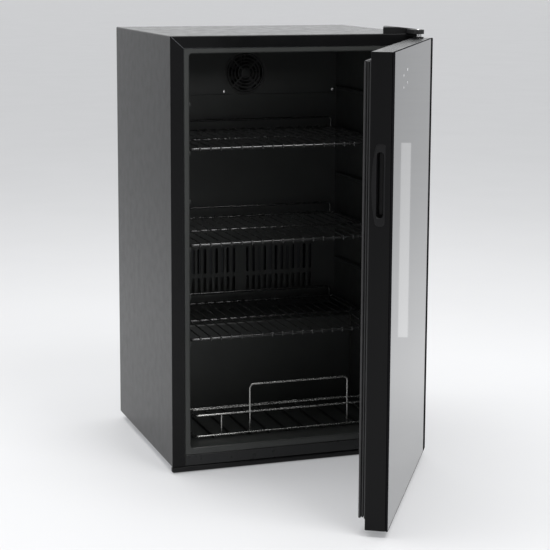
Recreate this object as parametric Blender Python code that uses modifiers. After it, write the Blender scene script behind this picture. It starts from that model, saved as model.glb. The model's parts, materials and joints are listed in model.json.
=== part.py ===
"""Compact glass door merchandiser: a black counter-height drinks cooler with its door standing open.

Metres, +Z up. Sizes are written in the cabinet's own frame: x runs right from the left side, y runs
back from the front face, z runs up from the floor. The object's origin is the bottom centre of its box.
"""

import math

import bmesh
import bpy
from mathutils import Matrix, Vector

# Fits between pieces
GAP = 0.0003  # between pieces that touch
RUNNING = 0.0003  # round a pin, an axle or a shaft
OVERCUT = 0.01  # how far a cutter runs past the face it cuts
BEYOND = 1.0  # further than any piece reaches
WELD = 0.9  # a thinner copy, whose joint with its neighbour has no faces in one plane

# Cabinet body
BODY_WIDTH = 0.490
BODY_DEPTH = 0.410
BODY_HEIGHT = 0.800
FLOOR_CLEARANCE = 0.014
SHEET = 0.001
SIDE_FLANGE = 0.025
TOP_FLANGE = 0.0225
SILL_HEIGHT = 0.0205
SILL_DEPTH = 0.018

# Food compartment
SIDE_WALL = 0.036
TOP_WALL = 0.032
FLOOR_WALL = 0.0335
REAR_WALL = 0.030
LINER_SHEET = 0.0015
HUMP_DEPTH = 0.130
HUMP_HEIGHT = 0.1765
LEDGE_REACH = 0.008
LEDGE_THICKNESS = 0.008
LEDGE_FRONT = 0.020
LEDGE_LENGTH = 0.310
LEDGE_COUNT = 6
LEDGE_PITCH = 0.0895
FIRST_LEDGE = 0.1975

# Rear wall of the food compartment
COVER_SHEET = 0.002
COVER_FROM_LINER = 0.028
COVER_LIFT = 0.033
SEAM = 0.0006
FAN_PANEL_HEIGHT = 0.105
FAN_OFFSET = 0.010
FAN_DROP = 0.061
FAN_HOLE_RADIUS = 0.040
COVER_SCREW_RADIUS = 0.0035
COVER_SCREW_HEAD = 0.0025
COVER_SCREW_LIFT = 0.007
GRILLE_RADIUS = 0.0445
GRILLE_RING = 0.0022
GRILLE_GAP = 0.0058
GRILLE_RINGS = 5
GRILLE_SIDES = 20
GRILLE_THICKNESS = 0.0015
FAN_FRAME = 0.092
FAN_FRAME_DEPTH = 0.020
FAN_BORE_RADIUS = 0.0385
FAN_STRUT = 0.004
ROTOR_RADIUS = 0.036
ROTOR_HUB_RADIUS = 0.016
ROTOR_DEPTH = 0.010
ROTOR_BLADES = 7
BLADE_THICKNESS = 0.0018
BLADE_PITCH = math.radians(35)
SHAFT_RADIUS = 0.002
SHAFT_LENGTH = 0.009
MOTOR_RADIUS = 0.014
MOTOR_DEPTH = 0.005
VENT_SLOTS = 12
VENT_PITCH = 0.0125
VENT_WIDTH = 0.0065
VENT_UPPER = 0.053
VENT_LOWER = 0.037
VENT_BAR = 0.008
VENT_EDGE = 0.005
VENT_GROUP_GAP = 0.018
COIL_FINS = 16
COIL_WIDTH = 0.340
COIL_HEIGHT = 0.330
COIL_DEPTH = 0.022
COIL_SLOT = 0.012
COIL_SLOT_DEPTH = 0.0176

# Wire shelves, which stand on the ledges of these numbers, counted from the lowest
SHELF_LEDGES = {"bottom_shelf": 0, "middle_shelf": 2, "top_shelf": 4}
SHELF_SIDE_CLEARANCE = 0.003
SHELF_FRONT = 0.028
SHELF_DEPTH = 0.308
FRAME_WIRE = 0.0026
CROSS_WIRE = 0.0015
SHELF_WIRES = 19
WIRE_SINK = 0.0011
NOSE_DROP = 0.007
RAIL_HEIGHT = 0.021

# Wire rack on the floor of the compartment
RACK_WIRE = 0.002
RACK_FRONT = 0.050
RACK_LEFT = 0.022
RACK_POCKET = 0.040
RACK_RAIL_HEIGHT = 0.041
RACK_LOOP_HEIGHT = 0.094
RACK_LOOP_LEFT = 0.132
RACK_LOOP_WIDTH = 0.200
RACK_LOOP_CORNER = 0.007
RACK_POST = 0.052
RACK_FLOOR_WIRES = 9
RACK_REAR_CLEARANCE = 0.012

# Door
DOOR_OPEN = math.radians(58.7)
DOOR_DEPTH = 0.039
DOOR_TOP_DROP = 0.0075
DOOR_BOTTOM_DROP = 0.0025
GASKET_DEPTH = 0.0132
GASKET_WIDTH = 0.016
GASKET_INSET = 0.0148
GASKET_LIP = 0.003
GASKET_GROOVE = 0.0046
GASKET_GROOVE_WIDTH = 0.0033
GASKET_TO_FLANGE = 0.0005
OUTER_GLASS = 0.004
INNER_GLASS = 0.004
INNER_GLASS_SINK = 0.002
STILE_WIDTH = 0.045
TOP_RAIL_HEIGHT = 0.095
BOTTOM_RAIL_HEIGHT = 0.050
SPACER_WIDTH = 0.012
PIN_FROM_EDGE = 0.019
PIN_FROM_INNER_FACE = 0.014
PIN_RADIUS = 0.004
PIN_IN_DOOR = 0.018
BUSH_RADIUS = 0.007
BUSH_FLANGE_RADIUS = 0.010
BUSH_FLANGE = 0.002
CUP_PROUD = 0.001
CUP_DEPTH = 0.019
CUP_WIDTH = 0.0226
CUP_HEIGHT = 0.134
CUP_DROP = 0.147
CUP_FROM_INNER_FACE = 0.0034
GRIP_WIDTH = 0.011
GRIP_HEIGHT = 0.107
GRIP_DEPTH = 0.016
GRIP_FROM_INNER_FACE = 0.0117
BOARD_WIDTH = 0.120
BOARD_HEIGHT = 0.050
BOARD_DEPTH = 0.012
BOARD_DROP = 0.025
BOARD_FROM_EDGE = 0.090

# Hinges
PLATE = 0.003
PLATE_WIDTH = 0.021
PLATE_REACH = 0.055
HINGE_BOSS = 0.008
PIN_ABOVE_BOSS = 0.0005
PIN_REACH = 0.8  # share of the bush that the pin fills
HINGE_COVER_HEIGHT = 0.012
HINGE_COVER_WIDTH = 0.076
HINGE_COVER_DEPTH = 0.056
HINGE_COVER_FRONT = 0.004
HINGE_COVER_WALL = 0.002
HINGE_COVER_FALL = 0.005
HINGE_COVER_LEVEL = 0.4  # share of its width before the top slopes down
HINGE_COVER_SLANT = 0.024
HINGE_SCREW_RADIUS = 0.003
HINGE_SCREW_HEAD = 0.0013
HINGE_SCREW_SPACING = 0.0085
HINGE_SCREW_BACK = 0.030

# Kick strip, feet and rollers
KICK_HEIGHT = 0.0125
KICK_DEPTH = 0.012
KICK_BACK = 0.001
KICK_ROUND = 0.005
KICK_TO_HINGE = 0.062
FOOT_FROM_SIDE = 0.040
FOOT_FROM_FRONT = 0.042
FOOT_RADIUS = 0.015
FOOT_PAD = 0.006
FOOT_STEM_RADIUS = 0.004
ROLLER_RADIUS = 0.011
ROLLER_WIDTH = 0.012
ROLLER_FROM_SIDE = 0.018
ROLLER_FROM_BACK = 0.090
AXLE_RADIUS = 0.002
BRACKET_WALL = 0.002
BRACKET_LENGTH = 0.128
BRACKET_AHEAD = 0.35  # share of its length in front of the roller
BRACKET_HEIGHT = 0.0085
WELL_LENGTH = 0.030
WELL_HEIGHT = 0.012

# Machine compartment behind the hump
FOAM_STEP = 0.0315
COMPRESSOR_RADIUS = 0.050
COMPRESSOR_HEIGHT = 0.125
COMPRESSOR_FROM_RIGHT = 0.140
MOUNT_WIDTH = 0.150
MOUNT_DEPTH = 0.108
MOUNT_SHEET = 0.002
STARTER_WIDTH = 0.028
STARTER_DEPTH = 0.040
STARTER_HEIGHT = 0.050
TRAY_WIDTH = 0.130
TRAY_DEPTH = 0.100
TRAY_HEIGHT = 0.018
TRAY_WALL = 0.002
DRAIN_RADIUS = 0.007
DRAIN_BORE = 0.005
COIL_TUBE = 0.003
COIL_RUNS = 7
COIL_RUN_LENGTH = 0.170
COIL_RUN_PITCH = 0.019
COIL_FROM_LEFT = 0.050
LOUVRES = 14
LOUVRE_PITCH = 0.024
LOUVRE_WIDTH = 0.008
LOUVRE_HEIGHT = 0.090
GLAND_RADIUS = 0.009
GLAND_FLANGE = 0.012
GLAND_PROUD = 0.003
GLAND_BORE = 0.0045
GLAND_FROM_LEFT = 0.035
GLAND_HEIGHT = 0.040

# Places worked out from the sizes
BASE = FLOOR_CLEARANCE
TOP = BASE + BODY_HEIGHT
OPEN_LEFT = SIDE_WALL
OPEN_RIGHT = BODY_WIDTH - SIDE_WALL
OPEN_LOW = BASE + FLOOR_WALL
OPEN_HIGH = TOP - TOP_WALL
LINER_BACK = BODY_DEPTH - REAR_WALL
HUMP_FRONT = LINER_BACK - HUMP_DEPTH
HUMP_TOP = OPEN_LOW + HUMP_HEIGHT
STEP_FRONT = HUMP_FRONT + FOAM_STEP
STEP_TOP = HUMP_TOP - FOAM_STEP
COVER_FACE = LINER_BACK - COVER_FROM_LINER - COVER_SHEET
COVER_LOW = HUMP_TOP + COVER_LIFT
FAN_PANEL_LOW = OPEN_HIGH - FAN_PANEL_HEIGHT
FAN_X = BODY_WIDTH / 2 + FAN_OFFSET
FAN_Z = OPEN_HIGH - FAN_DROP
DOOR_BACK = -GASKET_TO_FLANGE - GASKET_DEPTH - GAP
DOOR_FRONT = DOOR_BACK - DOOR_DEPTH
DOOR_LOW = BASE - DOOR_BOTTOM_DROP
DOOR_HIGH = TOP - DOOR_TOP_DROP
PIN_X = BODY_WIDTH - PIN_FROM_EDGE
PIN_Y = DOOR_BACK - PIN_FROM_INNER_FACE
COVER_TOP = TOP + GAP + HINGE_COVER_HEIGHT


def swung(x, y):
    """Where a point of the closed door is when the door stands open."""
    turn = Matrix.Rotation(DOOR_OPEN, 2)
    return Vector((PIN_X, PIN_Y)) + turn @ Vector((x - PIN_X, y - PIN_Y))


DOOR_CORNERS = [swung(x, y) for x in (0, BODY_WIDTH) for y in (DOOR_FRONT, DOOR_BACK)]
REST_RIGHT = max(corner.x for corner in DOOR_CORNERS)
REST_FRONT = min(corner.y for corner in DOOR_CORNERS)
REST_BACK = BODY_DEPTH + GLAND_PROUD
CENTRE = Vector((REST_RIGHT / 2, (REST_FRONT + REST_BACK) / 2, 0))

# ----------------------------------------------------------------------------- scene and helpers

for old in list(bpy.data.objects):
    bpy.data.objects.remove(old)

PARTS = bpy.data.collections.new("glass_door_merchandiser")
CUTTERS = bpy.data.collections.new("cutters")
bpy.context.scene.collection.children.link(PARTS)
bpy.context.scene.collection.children.link(CUTTERS)


def look(name, colour, roughness, metallic=0.0, alpha=1.0):
    material = bpy.data.materials.new(name)
    material.use_nodes = True
    shader = material.node_tree.nodes["Principled BSDF"]
    shader.inputs["Base Color"].default_value = (*colour, 1)
    shader.inputs["Roughness"].default_value = roughness
    shader.inputs["Metallic"].default_value = metallic
    shader.inputs["Alpha"].default_value = alpha
    return material


BLACK_PAINT = look("black_paint", (0.02, 0.02, 0.022), 0.35)
LINER_PLASTIC = look("liner_plastic", (0.03, 0.032, 0.033), 0.45)
BLACK_PLASTIC = look("black_plastic", (0.015, 0.015, 0.016), 0.5)
FOAM = look("foam", (0.75, 0.68, 0.45), 0.9)
MIRROR_GLASS = look("mirror_glass", (0.32, 0.33, 0.34), 0.05, 0.9)
CLEAR_GLASS = look("clear_glass", (0.4, 0.42, 0.42), 0.05, 0.0, 0.35)
DARK_METAL = look("dark_metal", (0.12, 0.12, 0.13), 0.35, 0.8)
STEEL = look("steel", (0.6, 0.6, 0.6), 0.3, 1.0)
ZINC = look("zinc", (0.5, 0.5, 0.5), 0.45, 1.0)
BLACK_WIRE = look("black_wire", (0.03, 0.03, 0.03), 0.3, 0.2)
RUBBER = look("rubber", (0.03, 0.03, 0.03), 0.7)
ALUMINIUM = look("aluminium", (0.7, 0.7, 0.7), 0.4, 1.0)
COPPER = look("copper", (0.65, 0.35, 0.2), 0.35, 1.0)
CIRCUIT = look("circuit", (0.05, 0.16, 0.08), 0.5)


def empty(name, at, parent=None, turn=0.0):
    """A point that pieces hang from; `origin` is where it stands in the closed cabinet's frame."""
    point = bpy.data.objects.new(name, None)
    PARTS.objects.link(point)
    origin = Vector(at)
    point["origin"] = origin
    point.parent = parent
    point.location = origin - Vector(parent["origin"]) if parent else -CENTRE
    point.rotation_euler.z = turn
    return point


CABINET = empty("cabinet_frame", (0, 0, 0))
DOOR = empty("door_axis", (PIN_X, PIN_Y, 0), CABINET, DOOR_OPEN)


def add(name, data, material, at, home=CABINET):
    """A named object at a point of the closed cabinet's frame. One with no material is a cutter."""
    item = bpy.data.objects.new(name, data)
    item.parent = home
    item.location = Vector(at) - Vector(home["origin"])
    if material:
        PARTS.objects.link(item)
        data.materials.append(material)
    else:
        CUTTERS.objects.link(item)
        item.hide_render = True
        item.display_type = "WIRE"
    return item


def mesh_of(bm, name):
    data = bpy.data.meshes.new(name)
    bm.to_mesh(data)
    bm.free()
    return data


def box(name, low, high, material=None, home=CABINET):
    low, high = Vector(low), Vector(high)
    bm = bmesh.new()
    bmesh.ops.create_cube(bm, size=1.0)
    bmesh.ops.scale(bm, vec=high - low, verts=bm.verts)
    return add(name, mesh_of(bm, name), material, (low + high) / 2, home)


def boxes(name, pairs, material=None, home=CABINET):
    """Several boxes, given by their corners, as one mesh."""
    bm = bmesh.new()
    for low, high in pairs:
        low, high = Vector(low), Vector(high)
        place = Matrix.Translation((low + high) / 2) @ Matrix.Diagonal((*(high - low), 1))
        bmesh.ops.create_cube(bm, size=1.0, matrix=place)
    return add(name, mesh_of(bm, name), material, (0, 0, 0), home)


TURN_TO = {
    "X": Matrix.Rotation(math.radians(90), 4, "Y"),
    "Y": Matrix.Rotation(math.radians(-90), 4, "X"),
    "Z": Matrix.Identity(4),
}


def rod(name, start, length, radius, axis, material=None, home=CABINET, sides=16):
    """A cylinder that starts at a point and runs along +X, +Y or +Z."""
    bm = bmesh.new()
    place = TURN_TO[axis] @ Matrix.Translation((0, 0, length / 2))
    bmesh.ops.create_cone(
        bm, cap_ends=True, segments=sides, radius1=radius, radius2=radius, depth=length, matrix=place
    )
    item = add(name, mesh_of(bm, name), material, start, home)
    item.data.shade_smooth()
    item.data.set_sharp_from_angle(angle=math.radians(40))
    return item


def turned(name, profile, at, axis, material=None, home=CABINET, sides=16, hollow=False):
    """A profile of (radius, height) points, top to bottom down its outer side, turned about an axis."""
    bm = bmesh.new()
    points = [bm.verts.new((radius, 0, height)) for radius, height in profile]
    for first, second in zip(points, points[1:]):
        bm.edges.new((first, second))
    if hollow:
        bm.edges.new((points[-1], points[0]))
    item = add(name, mesh_of(bm, name), material, at, home)
    item.rotation_euler = TURN_TO[axis].to_euler()
    screw = item.modifiers.new("turn", "SCREW")
    screw.steps = sides
    screw.render_steps = sides
    screw.use_merge_vertices = True
    screw.merge_threshold = 0.00005
    return item


def modify(item, kind, **settings):
    modifier = item.modifiers.new(kind.lower(), kind)
    for key, value in settings.items():
        setattr(modifier, key, value)
    return item


def cut(item, *tools):
    for tool in tools:
        modify(item, "BOOLEAN", operation="DIFFERENCE", object=tool)
    return item


def join(item, *tools):
    for tool in tools:
        modify(item, "BOOLEAN", operation="UNION", object=tool)
    return item


def round_edges(item, width, segments=1):
    return modify(item, "BEVEL", width=width, segments=segments, limit_method="ANGLE")


def wire(name, points, radius, material=None, home=CABINET, loop=False, roundness=1):
    """A wire through points, as a mesh with welded ends, so that it can be joined or cut."""
    curve = bpy.data.curves.new(name, "CURVE")
    curve.dimensions = "3D"
    curve.bevel_depth = radius
    curve.bevel_resolution = roundness
    curve.use_fill_caps = not loop
    spline = curve.splines.new("POLY")
    spline.points.add(len(points) - 1)
    for knot, point in zip(spline.points, points):
        knot.co = (*point, 1)
    spline.use_cyclic_u = loop
    source = bpy.data.objects.new(name + "_curve", curve)
    CUTTERS.objects.link(source)
    bpy.context.view_layer.update()
    graph = bpy.context.evaluated_depsgraph_get()
    data = bpy.data.meshes.new_from_object(source.evaluated_get(graph))
    bpy.data.objects.remove(source)
    bpy.data.curves.remove(curve)
    bm = bmesh.new()
    bm.from_mesh(data)
    bmesh.ops.remove_doubles(bm, verts=bm.verts, dist=0.00001)
    bm.to_mesh(data)
    bm.free()
    return add(name, data, material, (0, 0, 0), home)


# ----------------------------------------------------------------------------- cabinet


def build_shell():
    shell = box("outer_shell", (0, 0, BASE), (BODY_WIDTH, BODY_DEPTH, TOP), BLACK_PAINT)
    inside = box(
        "shell_inside",
        (SHEET, SHEET, BASE - BEYOND),
        (BODY_WIDTH - SHEET, BODY_DEPTH + BEYOND, TOP - SHEET),
    )
    mouth = box(
        "shell_mouth",
        (SIDE_FLANGE, -BEYOND, BASE - BEYOND),
        (BODY_WIDTH - SIDE_FLANGE, SHEET + BEYOND, TOP - TOP_FLANGE),
    )
    cut(shell, inside, mouth)
    sill = box(
        "front_sill",
        (SIDE_FLANGE + GAP, 0, BASE),
        (BODY_WIDTH - SIDE_FLANGE - GAP, SILL_DEPTH, BASE + SILL_HEIGHT),
        BLACK_PAINT,
    )
    behind = box("sill_behind", (-BEYOND, SHEET, BASE + SHEET), (BEYOND, BEYOND, BEYOND))
    cut(sill, behind)


def build_base():
    inner = SHEET + GAP
    pan = box(
        "base_pan",
        (inner, SILL_DEPTH + GAP, BASE),
        (BODY_WIDTH - inner, BODY_DEPTH - 2 * SHEET, BASE + SHEET),
        ZINC,
    )
    for side, x in foot_places():
        hole = rod(f"{side}_stem_hole", (x, FOOT_FROM_FRONT, 0), BEYOND, FOOT_STEM_RADIUS + RUNNING, "Z")
        cut(pan, hole)
    kick = box(
        "kick_strip",
        (0, KICK_BACK, BASE - GAP - KICK_HEIGHT),
        (BODY_WIDTH - KICK_TO_HINGE, KICK_BACK + KICK_DEPTH, BASE - GAP),
        BLACK_PLASTIC,
    )
    round_edges(kick, KICK_ROUND / 2, 2)


def foot_places():
    return (
        ("left", FOOT_FROM_SIDE),
        ("right", BODY_WIDTH - FOOT_FROM_SIDE - KICK_TO_HINGE),
    )


def foam_and_step():
    """The insulation between the shell and the liner, and the steel step over the machine space."""
    inner = SHEET + GAP
    grow = LINER_SHEET + GAP
    foam = box(
        "insulation_foam",
        (inner, grow + GAP, BASE + inner),
        (BODY_WIDTH - inner, BODY_DEPTH - 2 * SHEET, TOP - inner),
        FOAM,
    )
    upper = box(
        "foam_upper",
        (OPEN_LEFT - grow, -BEYOND, HUMP_TOP - grow),
        (OPEN_RIGHT + grow, LINER_BACK + grow, OPEN_HIGH + grow),
    )
    lower = box(
        "foam_lower",
        (OPEN_LEFT - grow, -BEYOND, OPEN_LOW - grow),
        (OPEN_RIGHT + grow, HUMP_FRONT + grow, OPEN_HIGH + grow),
    )
    machine = box("foam_machine", (-BEYOND, STEP_FRONT, BASE - BEYOND), (BEYOND, BEYOND, STEP_TOP))
    cut(foam, upper, lower, machine)
    step = box(
        "machine_step",
        (inner, STEP_FRONT + GAP, BASE + inner),
        (BODY_WIDTH - inner, BODY_DEPTH - 2 * SHEET, STEP_TOP - GAP),
        ZINC,
    )
    under = box(
        "step_under",
        (-BEYOND, STEP_FRONT + GAP + SHEET, BASE - BEYOND),
        (BEYOND, BEYOND, STEP_TOP - GAP - SHEET),
    )
    drain = rod("drain_hole", (*drain_place(), BASE), BEYOND, DRAIN_RADIUS + GAP, "Z")
    cut(step, under, drain)
    drip_height = HUMP_TOP - BASE - grow / 2
    drip = rod("foam_drain_hole", (*drain_place(), BASE), drip_height, DRAIN_RADIUS + GAP, "Z")
    cut(foam, drip)


def build_liner():
    sheet = LINER_SHEET
    edge = SIDE_FLANGE + GAP
    liner = box(
        "inner_liner",
        (OPEN_LEFT - sheet, 0, HUMP_TOP - sheet),
        (OPEN_RIGHT + sheet, LINER_BACK + sheet, OPEN_HIGH + sheet),
        LINER_PLASTIC,
    )
    lower = box(
        "liner_lower",
        (OPEN_LEFT - sheet, 0, OPEN_LOW - sheet),
        (OPEN_RIGHT + sheet, HUMP_FRONT + sheet, OPEN_HIGH),
    )
    flange = box(
        "liner_flange",
        (edge, 0, BASE + SILL_HEIGHT + GAP),
        (BODY_WIDTH - edge, sheet, TOP - TOP_FLANGE - GAP),
    )
    join(liner, lower, flange)
    room = box("liner_room", (OPEN_LEFT, -BEYOND, HUMP_TOP), (OPEN_RIGHT, LINER_BACK, OPEN_HIGH))
    well = box("liner_well", (OPEN_LEFT, -BEYOND, OPEN_LOW), (OPEN_RIGHT, HUMP_FRONT, HUMP_TOP + sheet))
    cut(liner, room, well)
    ledges = []
    for number in range(LEDGE_COUNT):
        z = OPEN_LOW + FIRST_LEDGE + number * LEDGE_PITCH
        for wall, reach in ((OPEN_LEFT - sheet / 2, 1), (OPEN_RIGHT + sheet / 2, -1)):
            ends = sorted((wall, wall + reach * (LEDGE_REACH + sheet / 2)))
            ledges.append(
                (
                    (ends[0], LEDGE_FRONT, z - LEDGE_THICKNESS),
                    (ends[1], LEDGE_FRONT + LEDGE_LENGTH, z),
                )
            )
    join(liner, boxes("liner_ledges", ledges))
    drain = rod(
        "liner_drain_hole", (*drain_place(), HUMP_TOP - 2 * sheet), 4 * sheet, DRAIN_BORE, "Z"
    )
    cut(liner, drain)


def build_rear():
    inner = SHEET + GAP
    back = BODY_DEPTH - SHEET / 2
    rear = box(
        "rear_panel",
        (inner, back - SHEET, STEP_TOP),
        (BODY_WIDTH - inner, back, TOP - inner),
        BLACK_PAINT,
    )
    round_edges(rear, SHEET / 4)
    low = BASE + SHEET + GAP
    cover = box(
        "machine_cover",
        (inner, back - SHEET, low),
        (BODY_WIDTH - inner, back, STEP_TOP - GAP),
        BLACK_PAINT,
    )
    first = BODY_WIDTH / 2 - (LOUVRES - 1) * LOUVRE_PITCH / 2
    middle = (low + STEP_TOP) / 2
    slots = []
    for number in range(LOUVRES):
        x = first + number * LOUVRE_PITCH
        slots.append(
            (
                (x - LOUVRE_WIDTH / 2, back - 2 * SHEET, middle - LOUVRE_HEIGHT / 2),
                (x + LOUVRE_WIDTH / 2, back + SHEET, middle + LOUVRE_HEIGHT / 2),
            )
        )
    gland_at = (GLAND_FROM_LEFT, back - 2 * SHEET, BASE + GLAND_HEIGHT)
    hole = rod("gland_hole", gland_at, 4 * SHEET, GLAND_RADIUS + GAP, "Y")
    cut(cover, boxes("louvre_slots", slots), hole)
    proud = BODY_DEPTH + GLAND_PROUD
    turned(
        "cord_gland",
        [
            (GLAND_FLANGE, 0),
            (GLAND_FLANGE, back + GAP - proud),
            (GLAND_RADIUS, back + GAP - proud),
            (GLAND_RADIUS, back - 3 * SHEET - proud),
            (GLAND_BORE, back - 3 * SHEET - proud),
            (GLAND_BORE, 0),
        ],
        (GLAND_FROM_LEFT, proud, BASE + GLAND_HEIGHT),
        "Y",
        RUBBER,
        hollow=True,
    )


# ----------------------------------------------------------------------------- rear wall, fan, coil


def build_inner_wall():
    left, right = OPEN_LEFT + GAP, OPEN_RIGHT - GAP
    back = COVER_FACE + COVER_SHEET
    cover = box(
        "evaporator_cover", (left, COVER_FACE, COVER_LOW), (right, back, FAN_PANEL_LOW), LINER_PLASTIC
    )
    vent_low = COVER_LOW + VENT_EDGE
    rows = (
        (vent_low, vent_low + VENT_LOWER),
        (vent_low + VENT_LOWER + VENT_BAR, vent_low + VENT_LOWER + VENT_BAR + VENT_UPPER),
    )
    slots = []
    for side in (-1, 1):
        for number in range(VENT_SLOTS):
            x = BODY_WIDTH / 2 + side * (VENT_GROUP_GAP / 2 + VENT_PITCH * (number + 0.5))
            for low, high in rows:
                slots.append(
                    (
                        (x - VENT_WIDTH / 2, COVER_FACE - COVER_SHEET, low),
                        (x + VENT_WIDTH / 2, back + COVER_SHEET, high),
                    )
                )
    cut(cover, boxes("vent_slots", slots))
    panel = box(
        "fan_panel",
        (left, COVER_FACE, FAN_PANEL_LOW + SEAM),
        (right, back, OPEN_HIGH - GAP),
        LINER_PLASTIC,
    )
    before = (FAN_X, COVER_FACE - COVER_SHEET, FAN_Z)
    hole = rod("fan_hole", before, 3 * COVER_SHEET, FAN_HOLE_RADIUS, "Y", sides=24)
    cut(panel, hole)


def circle(radius, sides):
    return [
        (radius * math.cos(2 * math.pi * k / sides), radius * math.sin(2 * math.pi * k / sides))
        for k in range(sides)
    ]


def build_grille():
    """Flat rings inside each other, joined by two crossed bars and a hub."""
    curve = bpy.data.curves.new("grille_rings", "CURVE")
    curve.dimensions = "2D"
    curve.fill_mode = "BOTH"
    curve.extrude = GRILLE_THICKNESS / 2
    radius = GRILLE_RADIUS
    for _ in range(GRILLE_RINGS):
        for edge in (radius, radius - GRILLE_RING):
            spline = curve.splines.new("POLY")
            outline = circle(edge, GRILLE_SIDES)
            spline.points.add(len(outline) - 1)
            for knot, point in zip(spline.points, outline):
                knot.co = (*point, 0, 1)
            spline.use_cyclic_u = True
        radius -= GRILLE_RING + GRILLE_GAP
    source = bpy.data.objects.new("grille_curve", curve)
    CUTTERS.objects.link(source)
    bpy.context.view_layer.update()
    graph = bpy.context.evaluated_depsgraph_get()
    data = bpy.data.meshes.new_from_object(source.evaluated_get(graph))
    bpy.data.objects.remove(source)
    bm = bmesh.new()
    bm.from_mesh(data)
    bmesh.ops.remove_doubles(bm, verts=bm.verts, dist=0.00001)
    bm.to_mesh(data)
    bm.free()
    middle = COVER_FACE - GAP - GRILLE_THICKNESS / 2
    rings = add("fan_grille", data, BLACK_PLASTIC, (FAN_X, middle, FAN_Z))
    rings.rotation_euler.x = math.radians(90)
    reach = GRILLE_RADIUS - GRILLE_RING / 2
    half = GRILLE_THICKNESS / 2
    for number, angle in enumerate((45, 135)):
        bar = box(
            f"grille_bar_{number}",
            (FAN_X - reach, middle - half * WELD, FAN_Z - GRILLE_RING / 2),
            (FAN_X + reach, middle + half * WELD, FAN_Z + GRILLE_RING / 2),
        )
        bar.rotation_euler.y = math.radians(angle)
        join(rings, bar)
    hub = rod("grille_hub", (FAN_X, middle - half * 0.9, FAN_Z), half * 1.8, ROTOR_HUB_RADIUS * 0.6, "Y")
    join(rings, hub)


def build_fan():
    front = COVER_FACE + COVER_SHEET + GAP
    half = FAN_FRAME / 2
    frame = box(
        "fan_frame",
        (FAN_X - half, front, FAN_Z - half),
        (FAN_X + half, front + FAN_FRAME_DEPTH, FAN_Z + half),
        BLACK_PLASTIC,
    )
    bore_length = FAN_FRAME_DEPTH + 2 * OVERCUT
    bore = rod("fan_bore", (FAN_X, front - OVERCUT, FAN_Z), bore_length, FAN_BORE_RADIUS, "Y", sides=24)
    cut(frame, bore)
    strut_front = front + FAN_FRAME_DEPTH - FAN_STRUT
    struts = boxes(
        "fan_struts",
        [
            (
                (FAN_X - FAN_STRUT / 2, strut_front, FAN_Z - half + FAN_STRUT / 2),
                (FAN_X + FAN_STRUT / 2, front + FAN_FRAME_DEPTH - GAP, FAN_Z + half - FAN_STRUT / 2),
            ),
        ],
    )
    cross = box(
        "fan_cross_strut",
        (FAN_X - half + FAN_STRUT / 2, strut_front, FAN_Z - FAN_STRUT / 2),
        (FAN_X + half - FAN_STRUT / 2, front + FAN_FRAME_DEPTH - GAP * 2, FAN_Z + FAN_STRUT / 2),
    )
    join(frame, struts, cross)
    rotor_front = front + GAP
    rotor = rod("fan_rotor", (FAN_X, rotor_front, FAN_Z), ROTOR_DEPTH, ROTOR_HUB_RADIUS, "Y", BLACK_PLASTIC)
    blade_root = ROTOR_HUB_RADIUS - FAN_STRUT
    blade_length = ROTOR_RADIUS - blade_root
    for number in range(ROTOR_BLADES):
        # each blade is a flat plate that leaves the hub along the spoke and is pitched about it
        spoke = Matrix.Rotation(2 * math.pi * number / ROTOR_BLADES, 4, "Y")
        pitch = Matrix.Rotation(BLADE_PITCH, 4, "Z")
        size = Matrix.Diagonal((BLADE_THICKNESS, ROTOR_DEPTH * WELD, blade_length, 1))
        lift = Matrix.Translation((0, 0, blade_root + blade_length / 2))
        plate = bmesh.new()
        bmesh.ops.create_cube(plate, size=1.0, matrix=spoke @ lift @ pitch @ size)
        middle = (FAN_X, rotor_front + ROTOR_DEPTH / 2, FAN_Z)
        blade = add(f"blade_{number}", mesh_of(plate, f"blade_{number}"), None, middle)
        join(rotor, blade)
    pocket_radius = SHAFT_RADIUS + RUNNING
    motor_front = strut_front - GAP - MOTOR_DEPTH
    pocket_end = (FAN_X, motor_front - SHAFT_LENGTH - GAP, FAN_Z)
    pocket = rod("shaft_pocket", pocket_end, 2 * OVERCUT, pocket_radius, "Y", sides=12)
    cut(rotor, pocket)
    motor = rod("fan_motor", (FAN_X, motor_front, FAN_Z), MOTOR_DEPTH, MOTOR_RADIUS, "Y", ZINC)
    shaft_end = (FAN_X, motor_front - SHAFT_LENGTH, FAN_Z)
    shaft = rod("motor_shaft", shaft_end, SHAFT_LENGTH + MOTOR_DEPTH / 2, SHAFT_RADIUS, "Y", sides=12)
    join(motor, shaft)


def build_coil():
    left = (BODY_WIDTH - COIL_WIDTH) / 2
    front = COVER_FACE + COVER_SHEET + 2 * GAP
    low = COVER_LOW + VENT_LOWER
    back, high = front + COIL_DEPTH, low + COIL_HEIGHT
    coil = box("evaporator", (left, front, low), (left + COIL_WIDTH, back, high), ALUMINIUM)
    pitch = COIL_WIDTH / COIL_FINS
    slots = []
    for number in range(COIL_FINS):
        x = left + (number + 0.5) * pitch
        slots.append(
            (
                (x - COIL_SLOT / 2, front - OVERCUT, low - OVERCUT),
                (x + COIL_SLOT / 2, front + COIL_SLOT_DEPTH, high + OVERCUT),
            )
        )
    cut(coil, boxes("coil_slots", slots))


def build_cover_screws():
    for side, x in (("left", FAN_X - FAN_FRAME / 2), ("right", OPEN_RIGHT - SIDE_WALL / 4)):
        rod(
            f"{side}_cover_screw",
            (x, COVER_FACE - GAP - COVER_SCREW_HEAD, FAN_PANEL_LOW + COVER_SCREW_LIFT),
            COVER_SCREW_HEAD,
            COVER_SCREW_RADIUS,
            "Y",
            STEEL,
            sides=12,
        )


# ----------------------------------------------------------------------------- shelves and rack


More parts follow.
